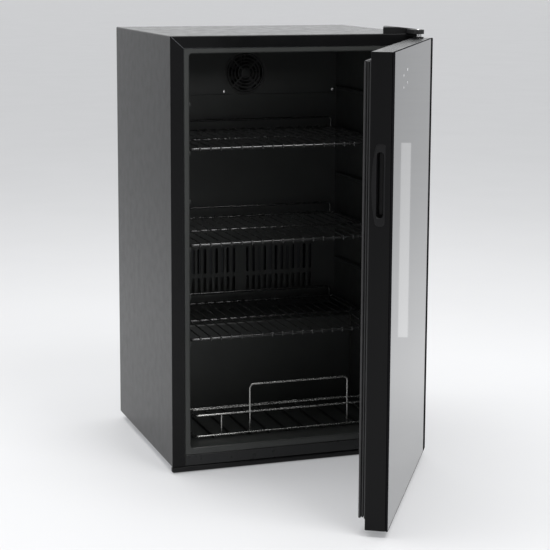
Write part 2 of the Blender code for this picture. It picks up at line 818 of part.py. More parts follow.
def build_shelf(name, ledge):
    """A wire frame with a raised rear rail, and thin wires that lie on it and bend down over its front."""
    left = OPEN_LEFT + SHELF_SIDE_CLEARANCE + FRAME_WIRE
    right = BODY_WIDTH - left
    front, back = SHELF_FRONT, SHELF_FRONT + SHELF_DEPTH
    z = OPEN_LOW + FIRST_LEDGE + ledge * LEDGE_PITCH + GAP + FRAME_WIRE
    corners = [(left, front, z), (right, front, z), (right, back, z), (left, back, z)]
    shelf = wire(name, corners, FRAME_WIRE, BLACK_WIRE, loop=True)
    middle = (front + back) / 2
    inset = FRAME_WIRE * 0.7
    bar = wire(f"{name}_bar", [(left + inset, middle, z), (right - inset, middle, z)], FRAME_WIRE * WELD)
    rail_left, rail_right = left + 4 * FRAME_WIRE, right - 4 * FRAME_WIRE
    lift = z + FRAME_WIRE * 0.4
    rail = wire(
        f"{name}_rail",
        [
            (rail_left, back, lift),
            (rail_left, back, z + RAIL_HEIGHT),
            (rail_right, back, z + RAIL_HEIGHT),
            (rail_right, back, lift),
        ],
        FRAME_WIRE * WELD * WELD,
    )
    join(shelf, bar, rail)
    upper = z + FRAME_WIRE + CROSS_WIRE - WIRE_SINK
    pitch = (right - left) / (SHELF_WIRES + 1)
    nose = front - FRAME_WIRE - CROSS_WIRE + WIRE_SINK
    for number in range(SHELF_WIRES):
        x = left + (number + 1) * pitch
        rung = wire(
            f"{name}_wire_{number}",
            [(x, back + FRAME_WIRE * 0.5, upper), (x, nose, upper), (x, nose, upper - NOSE_DROP)],
            CROSS_WIRE,
            roundness=0,
        )
        join(shelf, rung)


def arc(centre_x, centre_z, radius, start, end, y, steps=3):
    return [
        (
            centre_x + radius * math.cos(math.radians(start + (end - start) * k / steps)),
            y,
            centre_z + radius * math.sin(math.radians(start + (end - start) * k / steps)),
        )
        for k in range(steps + 1)
    ]


def build_rack():
    radius = RACK_WIRE
    left = OPEN_LEFT + RACK_LEFT
    right = OPEN_RIGHT - RACK_LEFT
    front = RACK_FRONT
    back = HUMP_FRONT - RACK_REAR_CLEARANCE
    floor_z = OPEN_LOW + GAP + radius
    low = floor_z + 2 * radius - WIRE_SINK
    high = low + RACK_RAIL_HEIGHT
    rack = wire(
        "bottle_rack",
        [(left, front, low), (right, front, low), (right, back, low), (left, back, low)],
        radius,
        STEEL,
        loop=True,
    )
    pocket = front + RACK_POCKET
    rail = wire(
        "rack_rail",
        [(left, front, high), (right, front, high), (right, pocket, high), (left, pocket, high)],
        radius * WELD,
        loop=True,
    )
    join(rack, rail)
    posts = [(left + RACK_POST, front), (right - radius / 2, front), (right - radius / 2, pocket)]
    for number, (x, y) in enumerate(posts):
        post = wire(f"rack_post_{number}", [(x, y, low), (x, y, high)], radius * WELD)
        join(rack, post)
    loop_left = OPEN_LEFT + RACK_LOOP_LEFT
    loop_right = loop_left + RACK_LOOP_WIDTH
    crown = low + RACK_LOOP_HEIGHT - RACK_LOOP_CORNER
    corner = RACK_LOOP_CORNER
    points = [(loop_left, front, low)]
    points += arc(loop_left + corner, crown, corner, 180, 90, front)
    points += arc(loop_right - corner, crown, corner, 90, 0, front)
    points += [(loop_right, front, low)]
    join(rack, wire("rack_loop", points, radius * WELD * WELD))
    pitch = (right - left) / (RACK_FLOOR_WIRES + 1)
    for number in range(RACK_FLOOR_WIRES):
        x = left + (number + 1) * pitch
        run = wire(
            f"rack_floor_{number}", [(x, front, floor_z), (x, back, floor_z)], radius, roundness=0
        )
        join(rack, run)


# ----------------------------------------------------------------------------- door


def build_door_frame():
    front, back = DOOR_FRONT + OUTER_GLASS + GAP, DOOR_BACK
    low, high = DOOR_LOW, DOOR_HIGH
    width = BODY_WIDTH
    box("door_glass", (0, DOOR_FRONT, low), (width, DOOR_FRONT + OUTER_GLASS, high), MIRROR_GLASS, DOOR)
    handle_stile = box("handle_stile", (0, front, low), (STILE_WIDTH, back, high), DARK_METAL, DOOR)
    cup_y = (DOOR_BACK - CUP_FROM_INNER_FACE - CUP_WIDTH, DOOR_BACK - CUP_FROM_INNER_FACE)
    cup_z = (high - CUP_DROP - CUP_HEIGHT, high - CUP_DROP)
    pocket = box(
        "cup_pocket",
        (-OVERCUT, cup_y[0] - GAP, cup_z[0] - GAP),
        (CUP_DEPTH + GAP, cup_y[1] + GAP, cup_z[1] + GAP),
        home=DOOR,
    )
    cut(handle_stile, pocket)
    cup = box(
        "handle_cup",
        (-CUP_PROUD, cup_y[0], cup_z[0]),
        (CUP_DEPTH, cup_y[1], cup_z[1]),
        BLACK_PLASTIC,
        DOOR,
    )
    middle = (cup_z[0] + cup_z[1]) / 2
    grip_back = DOOR_BACK - GRIP_FROM_INNER_FACE
    grip = box(
        "finger_grip",
        (-OVERCUT, grip_back - GRIP_WIDTH, middle - GRIP_HEIGHT / 2),
        (GRIP_DEPTH, grip_back, middle + GRIP_HEIGHT / 2),
        home=DOOR,
    )
    cut(cup, grip)
    hinge_stile = box(
        "hinge_stile", (width - STILE_WIDTH, front, low), (width, back, high), DARK_METAL, DOOR
    )
    for name, z in (("top", high - PIN_IN_DOOR), ("bottom", low - OVERCUT)):
        hole = rod(
            f"{name}_bush_hole", (PIN_X, PIN_Y, z), PIN_IN_DOOR + OVERCUT, BUSH_RADIUS + GAP, "Z", home=DOOR
        )
        cut(hinge_stile, hole)
    left, right = STILE_WIDTH + GAP, width - STILE_WIDTH - GAP
    top_rail = box("top_rail", (left, front, high - TOP_RAIL_HEIGHT), (right, back, high), DARK_METAL, DOOR)
    board_high = high - BOARD_DROP
    board_low = board_high - BOARD_HEIGHT
    board_left = BOARD_FROM_EDGE
    room = box(
        "board_room",
        (board_left - GAP, front - OVERCUT, board_low - GAP),
        (board_left + BOARD_WIDTH + GAP, front + BOARD_DEPTH + GAP, board_high + GAP),
        home=DOOR,
    )
    cut(top_rail, room)
    box(
        "control_board",
        (board_left, front, board_low),
        (board_left + BOARD_WIDTH, front + BOARD_DEPTH, board_high),
        CIRCUIT,
        DOOR,
    )
    box("bottom_rail", (left, front, low), (right, back, low + BOTTOM_RAIL_HEIGHT), DARK_METAL, DOOR)
    glass_low, glass_high = low + BOTTOM_RAIL_HEIGHT + GAP, high - TOP_RAIL_HEIGHT - GAP
    glass_back = back - INNER_GLASS_SINK
    glass_front = glass_back - INNER_GLASS
    box(
        "inner_glass",
        (left + GAP, glass_front, glass_low),
        (right - GAP, glass_back, glass_high),
        CLEAR_GLASS,
        DOOR,
    )
    spacer = box(
        "glass_spacer",
        (left + GAP, front, glass_low),
        (right - GAP, glass_front - GAP, glass_high),
        ALUMINIUM,
        DOOR,
    )
    view = box(
        "spacer_view",
        (left + SPACER_WIDTH, front - OVERCUT, glass_low + SPACER_WIDTH),
        (right - SPACER_WIDTH, back, glass_high - SPACER_WIDTH),
        home=DOOR,
    )
    cut(spacer, view)


def build_gasket():
    """A magnetic seal: a wide foot on the door and a narrower lip that meets the cabinet."""
    low, high = DOOR_LOW + GASKET_INSET, DOOR_HIGH - GASKET_INSET
    left, right = GASKET_INSET, BODY_WIDTH - GASKET_INSET
    front, back = DOOR_BACK + GAP, -GASKET_TO_FLANGE
    width = GASKET_WIDTH
    gasket = box("gasket", (left, front, low), (right, back, high), RUBBER, DOOR)
    inside = box(
        "gasket_inside",
        (left + width, front - OVERCUT, low + width),
        (right - width, back + OVERCUT, high - width),
        home=DOOR,
    )
    cut(gasket, inside)
    groove_front = front + GASKET_GROOVE
    groove_back = groove_front + GASKET_GROOVE_WIDTH
    outer = box(
        "groove_outer",
        (left - OVERCUT, groove_front, low - OVERCUT),
        (right + OVERCUT, groove_back, high + OVERCUT),
        home=DOOR,
    )
    kept = box(
        "groove_kept",
        (left + GASKET_LIP, groove_front - OVERCUT, low + GASKET_LIP),
        (right - GASKET_LIP, groove_back + OVERCUT, high - GASKET_LIP),
        home=DOOR,
    )
    cut(outer, kept)
    cut(gasket, outer)


def bush(name, face, up):
    """A flanged bush in the door's hinge stile; its flange stands on the door's end face."""
    outward = 1 if up else -1
    bore = PIN_RADIUS + RUNNING
    rim = face + outward * (BUSH_FLANGE + GAP)
    levels = sorted((rim, face + outward * GAP, face - outward * PIN_IN_DOOR * WELD))
    if up:
        profile = [
            (BUSH_FLANGE_RADIUS, levels[2]),
            (BUSH_FLANGE_RADIUS, levels[1]),
            (BUSH_RADIUS, levels[1]),
            (BUSH_RADIUS, levels[0]),
        ]
    else:
        profile = [
            (BUSH_RADIUS, levels[2]),
            (BUSH_RADIUS, levels[1]),
            (BUSH_FLANGE_RADIUS, levels[1]),
            (BUSH_FLANGE_RADIUS, levels[0]),
        ]
    profile += [(bore, levels[0]), (bore, levels[2])]
    turned(name, profile, (PIN_X, PIN_Y, 0), "Z", BLACK_PLASTIC, DOOR, hollow=True)


def build_hinges():
    """The top bracket has a thick nose for the pin, and low screws that hold its plate under the cap."""
    left, right = PIN_X - PLATE_WIDTH / 2, PIN_X + PLATE_WIDTH / 2
    low = TOP + GAP
    nose = PLATE_WIDTH / 2 - GAP
    plate = box("top_hinge_bracket", (left, PIN_Y, low), (right, PLATE_REACH, low + PLATE), BLACK_PAINT)
    boss = box("top_boss", (left, PIN_Y, low), (right, HINGE_COVER_FRONT - GAP, low + HINGE_BOSS))
    knuckle = rod(
        "top_knuckle", (PIN_X, PIN_Y, low + GAP / 2), HINGE_BOSS - GAP, nose, "Z", sides=20
    )
    hole = rod(
        "top_pin_hole", (PIN_X, PIN_Y, low - OVERCUT), HINGE_BOSS + 2 * OVERCUT, PIN_RADIUS + RUNNING, "Z"
    )
    cut(join(plate, boss, knuckle), hole)
    pin_foot = DOOR_HIGH - PIN_IN_DOOR * PIN_REACH
    pin_length = low + HINGE_BOSS + PIN_ABOVE_BOSS - pin_foot
    rod("top_hinge_pin", (PIN_X, PIN_Y, pin_foot), pin_length, PIN_RADIUS, "Z", STEEL)
    for name, offset in (("left", -0.5), ("right", 0.5)):
        rod(
            f"{name}_hinge_screw",
            (PIN_X + offset * HINGE_SCREW_SPACING, HINGE_SCREW_BACK, low + PLATE + GAP),
            HINGE_SCREW_HEAD,
            HINGE_SCREW_RADIUS,
            "Z",
            STEEL,
            sides=12,
        )
    build_hinge_cover(left, right)
    step_top = DOOR_LOW - BUSH_FLANGE - 3 * GAP
    step_low = step_top - PLATE
    lower = box(
        "bottom_hinge_bracket", (left, PIN_Y, step_low), (right, KICK_DEPTH, step_top), BLACK_PAINT
    )
    toe = rod("bottom_knuckle", (PIN_X, PIN_Y, step_low + GAP / 2), PLATE - GAP, nose, "Z", sides=20)
    riser = box("bracket_riser", (left, PLATE, step_low), (right, 2 * PLATE, BASE - GAP))
    tail = box("bracket_tail", (left, PLATE, BASE - GAP - PLATE), (right, PLATE_REACH, BASE - GAP))
    pin_hole = rod(
        "bottom_pin_hole", (PIN_X, PIN_Y, step_low - OVERCUT), 3 * OVERCUT, PIN_RADIUS + RUNNING, "Z"
    )
    cut(join(lower, toe, riser, tail), pin_hole)
    pin_length = DOOR_LOW + PIN_IN_DOOR * PIN_REACH - step_low
    rod("bottom_hinge_pin", (PIN_X, PIN_Y, step_low), pin_length, PIN_RADIUS, "Z", STEEL)


def slanted(item):
    """Moves a box's rear left edge inwards, so that its left side runs back at an angle."""
    for vertex in item.data.vertices:
        if vertex.co.x < 0 < vertex.co.y:
            vertex.co.x += HINGE_COVER_SLANT
    return item


def build_hinge_cover(plate_left, plate_right):
    """A cap over the bracket's rear half: hollow below, with a mouth for the bracket and a sloping top."""
    right = BODY_WIDTH - SHEET
    left = right - HINGE_COVER_WIDTH
    front = HINGE_COVER_FRONT
    back = front + HINGE_COVER_DEPTH
    low = TOP + GAP
    cover = box("top_hinge_cover", (left, front, low), (right, back, COVER_TOP), BLACK_PLASTIC)
    wall = HINGE_COVER_WALL
    lid = COVER_TOP - HINGE_COVER_FALL - wall
    room = box(
        "hinge_cover_room", (left + wall, front + wall, low - OVERCUT), (right - wall, back - wall, lid)
    )
    mouth = box(
        "hinge_cover_mouth",
        (plate_left - GAP, front - OVERCUT, low - OVERCUT),
        (plate_right + GAP, front + 2 * wall, low + PLATE + GAP),
    )
    bend = left + (right - left) * HINGE_COVER_LEVEL
    slope = box(
        "hinge_cover_slope",
        (bend, front - OVERCUT, COVER_TOP),
        (right + 3 * OVERCUT, back + OVERCUT, COVER_TOP + 3 * OVERCUT),
    )
    fall = math.atan2(HINGE_COVER_FALL, right - bend)
    pivot = Vector((bend, 0, COVER_TOP)) - (slope.location + Vector(CABINET["origin"]))
    turn = Matrix.Translation(pivot) @ Matrix.Rotation(fall, 4, "Y") @ Matrix.Translation(-pivot)
    slope.data.transform(turn)
    cut(slanted(cover), slanted(room), mouth, slope)


# ----------------------------------------------------------------------------- feet and rollers


def build_feet():
    for side, x in foot_places():
        foot_axis = empty(f"{side}_foot_axis", (x, FOOT_FROM_FRONT, 0), CABINET)
        turned(
            f"{side}_foot",
            [
                (0, BASE + SHEET - GAP),
                (FOOT_STEM_RADIUS, BASE + SHEET - GAP),
                (FOOT_STEM_RADIUS, FOOT_PAD),
                (FOOT_RADIUS * 0.8, FOOT_PAD),
                (FOOT_RADIUS, FOOT_PAD * 0.6),
                (FOOT_RADIUS, 0),
                (0, 0),
            ],
            (x, FOOT_FROM_FRONT, 0),
            "Z",
            BLACK_PLASTIC,
            foot_axis,
        )


def build_rollers():
    y = BODY_DEPTH - ROLLER_FROM_BACK
    z = ROLLER_RADIUS
    half = ROLLER_WIDTH / 2
    for side, x in (("left", ROLLER_FROM_SIDE), ("right", BODY_WIDTH - ROLLER_FROM_SIDE)):
        axis = empty(f"{side}_roller_axis", (x, y, z), CABINET)
        bore = AXLE_RADIUS + RUNNING
        edge = ROLLER_RADIUS * 0.1
        turned(
            f"{side}_roller",
            [
                (ROLLER_RADIUS - edge, half),
                (ROLLER_RADIUS, half - edge),
                (ROLLER_RADIUS, edge - half),
                (ROLLER_RADIUS - edge, -half),
                (bore, -half),
                (bore, half),
            ],
            (x, y, z),
            "X",
            BLACK_PLASTIC,
            axis,
            sides=24,
            hollow=True,
        )
        outer = half + GAP + BRACKET_WALL
        top = BASE - GAP
        bracket = box(
            f"{side}_roller_bracket",
            (x - outer, y - BRACKET_LENGTH * BRACKET_AHEAD, top - BRACKET_HEIGHT),
            (x + outer, y + BRACKET_LENGTH * (1 - BRACKET_AHEAD), top),
            BLACK_PAINT,
        )
        well = box(
            f"{side}_roller_well",
            (x - half - GAP, y - WELL_LENGTH / 2, -BEYOND),
            (x + half + GAP, y + WELL_LENGTH / 2, top + OVERCUT),
        )
        hole = rod(f"{side}_axle_hole", (x - outer - OVERCUT, y, z), 2 * (outer + OVERCUT), bore, "X")
        cut(bracket, well, hole)
        rod(f"{side}_roller_axle", (x - outer, y, z), 2 * outer, AXLE_RADIUS, "X", STEEL)


def cut_roller_wells():
    """The rollers stand up through the base pan, and the foam over them is hollowed."""
    y = BODY_DEPTH - ROLLER_FROM_BACK
    half = ROLLER_WIDTH / 2 + GAP
    for side, x in (("left", ROLLER_FROM_SIDE), ("right", BODY_WIDTH - ROLLER_FROM_SIDE)):
        well = box(
            f"{side}_pan_well",
            (x - half, y - WELL_LENGTH / 2, BASE - OVERCUT),
            (x + half, y + WELL_LENGTH / 2, BASE + WELL_HEIGHT),
        )
        cut(bpy.data.objects["base_pan"], well)


# ----------------------------------------------------------------------------- machine compartment


def compressor_place():
    return (
        BODY_WIDTH - COMPRESSOR_FROM_RIGHT,
        (STEP_FRONT + BODY_DEPTH) / 2,
    )


def drain_place():
    x, y = compressor_place()
    return (x + TRAY_WIDTH / 4, y)


def build_machinery():
    x, y = compressor_place()
    floor = BASE + SHEET + GAP
    box(
        "compressor_mount",
        (x - MOUNT_WIDTH / 2, y - MOUNT_DEPTH / 2, floor),
        (x + MOUNT_WIDTH / 2, y + MOUNT_DEPTH / 2, floor + MOUNT_SHEET),
        BLACK_PAINT,
    )
    low = floor + MOUNT_SHEET + GAP
    high = low + COMPRESSOR_HEIGHT
    r = COMPRESSOR_RADIUS
    turned(
        "compressor",
        [
            (0, high),
            (r * 0.45, high - r * 0.05),
            (r * 0.8, high - r * 0.25),
            (r * 0.97, high - r * 0.55),
            (r, high - r * 0.8),
            (r, low + r * 0.45),
            (r * 0.85, low + r * 0.15),
            (r * 0.55, low),
            (0, low),
        ],
        (x, y, 0),
        "Z",
        BLACK_PAINT,
        sides=24,
    )
    starter_left = x + r + GAP
    box(
        "starter_box",
        (starter_left, y - STARTER_DEPTH / 2, low + r * 0.45),
        (starter_left + STARTER_WIDTH, y + STARTER_DEPTH / 2, low + r * 0.45 + STARTER_HEIGHT),
        BLACK_PLASTIC,
    )
    tray_low = high + GAP
    tray = box(
        "drip_tray",
        (x - TRAY_WIDTH / 2, y - TRAY_DEPTH / 2, tray_low),
        (x + TRAY_WIDTH / 2, y + TRAY_DEPTH / 2, tray_low + TRAY_HEIGHT),
        BLACK_PLASTIC,
    )
    room = box(
        "tray_room",
        (x - TRAY_WIDTH / 2 + TRAY_WALL, y - TRAY_DEPTH / 2 + TRAY_WALL, tray_low + TRAY_WALL),
        (x + TRAY_WIDTH / 2 - TRAY_WALL, y + TRAY_DEPTH / 2 - TRAY_WALL, tray_low + BEYOND),
    )
    cut(tray, room)
    drain_low = tray_low + TRAY_WALL + TRAY_HEIGHT / 3
    drain_top = HUMP_TOP - LINER_SHEET - GAP
    turned(
        "drain_tube",
        [
            (DRAIN_RADIUS, drain_top),
            (DRAIN_RADIUS, drain_low),
            (DRAIN_BORE, drain_low),
            (DRAIN_BORE, drain_top),
        ],
        (*drain_place(), 0),
        "Z",
        BLACK_PLASTIC,
        hollow=True,
    )
    run_left, run_right = COIL_FROM_LEFT, COIL_FROM_LEFT + COIL_RUN_LENGTH
    points = []
    for number in range(COIL_RUNS):
        run_z = floor + COIL_TUBE + number * COIL_RUN_PITCH
        ends = (run_left, run_right) if number % 2 == 0 else (run_right, run_left)
        points += [(ends[0], y, run_z), (ends[1], y, run_z)]
    wire("condenser_coil", points, COIL_TUBE, COPPER)


build_shell()
build_base()
foam_and_step()
build_liner()
build_rear()
build_inner_wall()
build_grille()
build_fan()
build_coil()
build_cover_screws()
for shelf_name, shelf_ledge in SHELF_LEDGES.items():
    build_shelf(shelf_name, shelf_ledge)
build_rack()
build_door_frame()
build_gasket()
bush("top_bush", DOOR_HIGH, True)
bush("bottom_bush", DOOR_LOW, False)
build_hinges()
build_feet()
build_rollers()
cut_roller_wells()
build_machinery()
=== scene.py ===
"""The looks of the glass door merchandiser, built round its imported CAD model.

Metres, +Z up. Pieces are modelled in the cabinet's own frame (x right from the left side, y back from
the front face, z up from the floor, door closed) and then set where the frame says.
"""

import json
import math

import bmesh
import bpy
from mathutils import Matrix, Vector


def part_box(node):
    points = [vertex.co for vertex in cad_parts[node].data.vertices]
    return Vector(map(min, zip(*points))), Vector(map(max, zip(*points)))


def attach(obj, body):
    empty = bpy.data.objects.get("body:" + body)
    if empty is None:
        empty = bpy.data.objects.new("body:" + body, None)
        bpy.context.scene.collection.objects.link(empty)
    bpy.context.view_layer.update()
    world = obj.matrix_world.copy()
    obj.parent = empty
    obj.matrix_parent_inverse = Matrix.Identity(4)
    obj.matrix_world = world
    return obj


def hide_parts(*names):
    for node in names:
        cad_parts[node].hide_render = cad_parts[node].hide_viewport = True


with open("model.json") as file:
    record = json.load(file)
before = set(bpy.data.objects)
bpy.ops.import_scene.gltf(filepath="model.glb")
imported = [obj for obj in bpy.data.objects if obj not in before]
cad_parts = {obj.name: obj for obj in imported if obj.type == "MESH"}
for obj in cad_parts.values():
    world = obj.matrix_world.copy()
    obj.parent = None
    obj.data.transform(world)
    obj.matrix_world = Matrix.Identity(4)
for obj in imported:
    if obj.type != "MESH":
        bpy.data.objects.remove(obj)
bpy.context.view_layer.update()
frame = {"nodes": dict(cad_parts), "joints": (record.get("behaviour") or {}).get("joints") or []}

UP = Vector((0, 0, 1))
X, Y, Z = 0, 1, 2

# ----------------------------------------------------------------------------- places from the frame

JOINTS = {joint["name"]: joint for joint in frame["joints"]}
PIN = Vector(JOINTS["door_hinge"]["pos_m"])
DOOR_OPEN = -math.radians(JOINTS["door_hinge"]["range_deg"][0])
SHELL_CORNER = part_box("outer_shell")[0]
CABINET_PLACE = Matrix.Translation((SHELL_CORNER.x, SHELL_CORNER.y, 0))
DOOR_SWING = Matrix.Translation(PIN) @ Matrix.Rotation(DOOR_OPEN, 4, "Z") @ Matrix.Translation(-PIN)
PLACES = {"cabinet": CABINET_PLACE, "door": DOOR_SWING @ CABINET_PLACE}


def corners(node, home="cabinet"):
    """A CAD node's low and high corners in the cabinet's own frame, with the door closed."""
    back = PLACES[home].inverted()
    points = [back @ vertex.co for vertex in frame["nodes"][node].data.vertices]
    low = Vector([min(point[axis] for point in points) for axis in (X, Y, Z)])
    high = Vector([max(point[axis] for point in points) for axis in (X, Y, Z)])
    return low, high


SHELL_LOW, SHELL_HIGH = corners("outer_shell")
SILL_LOW, SILL_HIGH = corners("front_sill")
LINER_LOW, LINER_HIGH = corners("inner_liner")
COVER_LOW, COVER_HIGH = corners("evaporator_cover")
PANEL_LOW, PANEL_HIGH = corners("fan_panel")
RACK_LOW, RACK_HIGH = corners("bottle_rack")
GLASS_LOW, GLASS_HIGH = corners("door_glass", "door")
STILE_LOW, STILE_HIGH = corners("handle_stile", "door")
GAP = 0.0003
WIDTH, DEPTH = SHELL_HIGH.x, SHELL_HIGH.y
BASE, TOP = SHELL_LOW.z, SHELL_HIGH.z
FLANGE_TOP = LINER_HIGH.z + GAP
OPEN_LEFT, OPEN_RIGHT = COVER_LOW.x - GAP, COVER_HIGH.x + GAP
OPEN_LOW, OPEN_HIGH = RACK_LOW.z - GAP, PANEL_HIGH.z + GAP

# ----------------------------------------------------------------------------- meshes


def finished(bm):
    bmesh.ops.recalc_face_normals(bm, faces=bm.faces)
    return bm


def put(target, part, place=None, finish=0):
    """Moves one bmesh into another, at a place and with a material's number."""
    if place:
        bmesh.ops.transform(part, matrix=place, verts=part.verts)
    for face in part.faces:
        face.material_index = finish
    data = bpy.data.meshes.new("part")
    part.to_mesh(data)
    part.free()
    target.from_mesh(data)
    bpy.data.meshes.remove(data)
    return target


def block(low, high, radius=0.0, segments=3):
    """A box with rounded edges."""
    low, high = Vector(low), Vector(high)
    bm = bmesh.new()
    place = Matrix.Translation((low + high) / 2) @ Matrix.Diagonal((*(high - low), 1))
    bmesh.ops.create_cube(bm, size=1.0, matrix=place)
    if radius:
        bmesh.ops.bevel(
            bm, geom=bm.edges[:], offset=radius, segments=segments, profile=0.5, affect="EDGES"
        )
    return finished(bm)


def loft(loops, capped=True, ring=False):
    """A skin over loops that have the same number of points."""
    bm = bmesh.new()
    rows = [[bm.verts.new(point) for point in loop] for loop in loops]
    pairs = list(zip(rows, rows[1:]))
    if ring:
        pairs.append((rows[-1], rows[0]))
    for one, two in pairs:
        for k in range(len(one)):
            n = (k + 1) % len(one)
            bm.faces.new((one[k], one[n], two[n], two[k]))
    if capped and not ring:
        bm.faces.new(rows[0])
        bm.faces.new(rows[-1])
    return finished(bm)


def turned(profile, sides=32, ring=False):
    """A profile of (radius, height) points turned about Z."""
    loops = []
    for radius, height in profile:
        radius = max(radius, 0.00002)
        loops.append(
            [
                (radius * math.cos(math.tau * k / sides), radius * math.sin(math.tau * k / sides), height)
                for k in range(sides)
            ]
        )
    return loft(loops, ring=ring)


def filleted(points, radius, steps=5, closed=False):
    """The points with each corner rounded by an arc."""
    points = [Vector(point) for point in points]
    made = []
    for k, point in enumerate(points):
        if not closed and k in (0, len(points) - 1):
            made.append(point)
            continue
        before = points[k - 1] - point
        after = points[(k + 1) % len(points)] - point
        half = before.angle(after) / 2
        reach = min(radius / math.tan(half), before.length * 0.49, after.length * 0.49)
        start, end = point + before.normalized() * reach, point + after.normalized() * reach
        centre = point + (before.normalized() + after.normalized()).normalized() * reach / math.cos(half)
        first, last = start - centre, end - centre
        for step in range(steps + 1):
            arm = first.normalized().slerp(last.normalized(), step / steps)
            made.append(centre + arm * first.length)
    return made


def tube(points, radius, sides=12, closed=False):
    """A round wire along points, with domed ends where it is open."""
    points = [Vector(point) for point in points]
    count = len(points)
    tangents = []
    for k in range(count):
        before = points[k - 1] if closed or k else points[0]
        after = points[(k + 1) % count] if closed or k < count - 1 else points[-1]
        tangents.append((after - before).normalized())
    side = tangents[0].orthogonal().normalized()
    stations = []
    for k in range(count):
        if k:
            side = tangents[k - 1].rotation_difference(tangents[k]) @ side
        stations.append((points[k], tangents[k], side.copy(), radius))
    if not closed:
        for end, outward in ((0, -1), (-1, 1)):
            point, tangent, side, _ = stations[end]
            domes = [
                (
                    point + tangent * outward * radius * math.sin(angle),
                    tangent,
                    side,
                    radius * math.cos(angle),
                )
                for angle in (math.radians(35), math.radians(65), math.radians(85))
            ]
            stations = domes[::-1] + stations if end == 0 else stations + domes
    loops = []
    for point, tangent, side, size in stations:
        other = tangent.cross(side)
        loops.append(
            [
                point
                + size * (side * math.cos(math.tau * k / sides) + other * math.sin(math.tau * k / sides))
                for k in range(sides)
            ]
        )
    return loft(loops, ring=closed)


def round_rect(left, low, right, high, radius, steps=6):
    """The outline of a rectangle with round corners, as 2D points anticlockwise from its lower right."""
    radius = min(radius, (right - left) / 2 - 1e-5, (high - low) / 2 - 1e-5)
    centres = (
        (right - radius, low + radius, -90),
        (right - radius, high - radius, 0),
        (left + radius, high - radius, 90),
        (left + radius, low + radius, 180),
    )
    made = []
    for x, z, start in centres:
        for step in range(steps + 1):
            angle = math.radians(start + 90 * step / steps)
            made.append((x + radius * math.cos(angle), z + radius * math.sin(angle)))
    return made


def at_y(outline, y):
    return [(x, y, z) for x, z in outline]


def at_x(outline, x):
    return [(x, y, z) for y, z in outline]


def baked(bm, thickness=0.0, cutters=(), bevel=0.0, segments=2):
    """The bmesh as mesh data, after a sheet thickness, cuts and rounded edges."""
    data = bpy.data.meshes.new("work")
    bm.to_mesh(data)
    bm.free()
    item = bpy.data.objects.new("work", data)
    helpers = [item]
    if thickness:
        solid = item.modifiers.new("sheet", "SOLIDIFY")
        solid.thickness = thickness
        solid.offset = -1
        solid.use_even_offset = True
    for number, cutter in enumerate(cutters):
        tool_data = bpy.data.meshes.new(f"cutter_{number}")
        cutter.to_mesh(tool_data)
        cutter.free()
        tool = bpy.data.objects.new(f"cutter_{number}", tool_data)
        helpers.append(tool)
        cut = item.modifiers.new(f"cut_{number}", "BOOLEAN")
        cut.operation = "DIFFERENCE"
        cut.object = tool
    if bevel:
        rounding = item.modifiers.new("round", "BEVEL")
        rounding.width = bevel
        rounding.segments = segments
        rounding.limit_method = "ANGLE"
        rounding.angle_limit = math.radians(40)
    for helper in helpers:
        bpy.context.scene.collection.objects.link(helper)
    bpy.context.view_layer.update()
    graph = bpy.context.evaluated_depsgraph_get()
    made = bpy.data.meshes.new_from_object(item.evaluated_get(graph))
    for helper in helpers:
        old = helper.data
        bpy.data.objects.remove(helper)
        bpy.data.meshes.remove(old)
    return made


def piece(name, shape, finishes, replaces=(), body="cabinet", flat=True):
    """A visible piece, from a bmesh or mesh data in the cabinet's own frame."""
    if isinstance(shape, bmesh.types.BMesh):
        data = bpy.data.meshes.new(name)
        shape.to_mesh(data)
        shape.free()
    else:
        data = shape
        data.name = name
    for finish in finishes if isinstance(finishes, tuple) else (finishes,):
        data.materials.append(finish)
    data.shade_smooth()
    data.set_sharp_from_angle(angle=math.radians(35))
    item = bpy.data.objects.new(name, data)
    bpy.context.scene.collection.objects.link(item)
    item.matrix_world = PLACES["door" if body == "door" else "cabinet"]
    if flat:
        weighted = item.modifiers.new("flat faces", "WEIGHTED_NORMAL")
        weighted.keep_sharp = True
    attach(item, body)
    if replaces:
        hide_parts(*replaces)
    return item


TO_X = Matrix.Rotation(math.radians(90), 4, "Y")
TO_Y = Matrix.Rotation(math.radians(-90), 4, "X")
TO_FRONT = Matrix.Rotation(math.radians(90), 4, "X")


def moved(x, y, z):
    return Matrix.Translation((x, y, z))


# ----------------------------------------------------------------------------- materials


def noise(tree, place, size, detail=3.0):
    """Noise whose patches are about this size, in metres."""
    made = tree.nodes.new("ShaderNodeTexNoise")
    made.inputs["Scale"].default_value = 1 / size
    made.inputs["Detail"].default_value = detail
    tree.links.new(place, made.inputs["Vector"])
    return made.outputs["Fac"]


def spread(tree, value, low, high):
    made = tree.nodes.new("ShaderNodeMapRange")
    made.inputs["From Min"].default_value = 0.3
    made.inputs["From Max"].default_value = 0.7
    made.inputs["To Min"].default_value = low
    made.inputs["To Max"].default_value = high
    tree.links.new(value, made.inputs["Value"])
    return made.outputs["Result"]


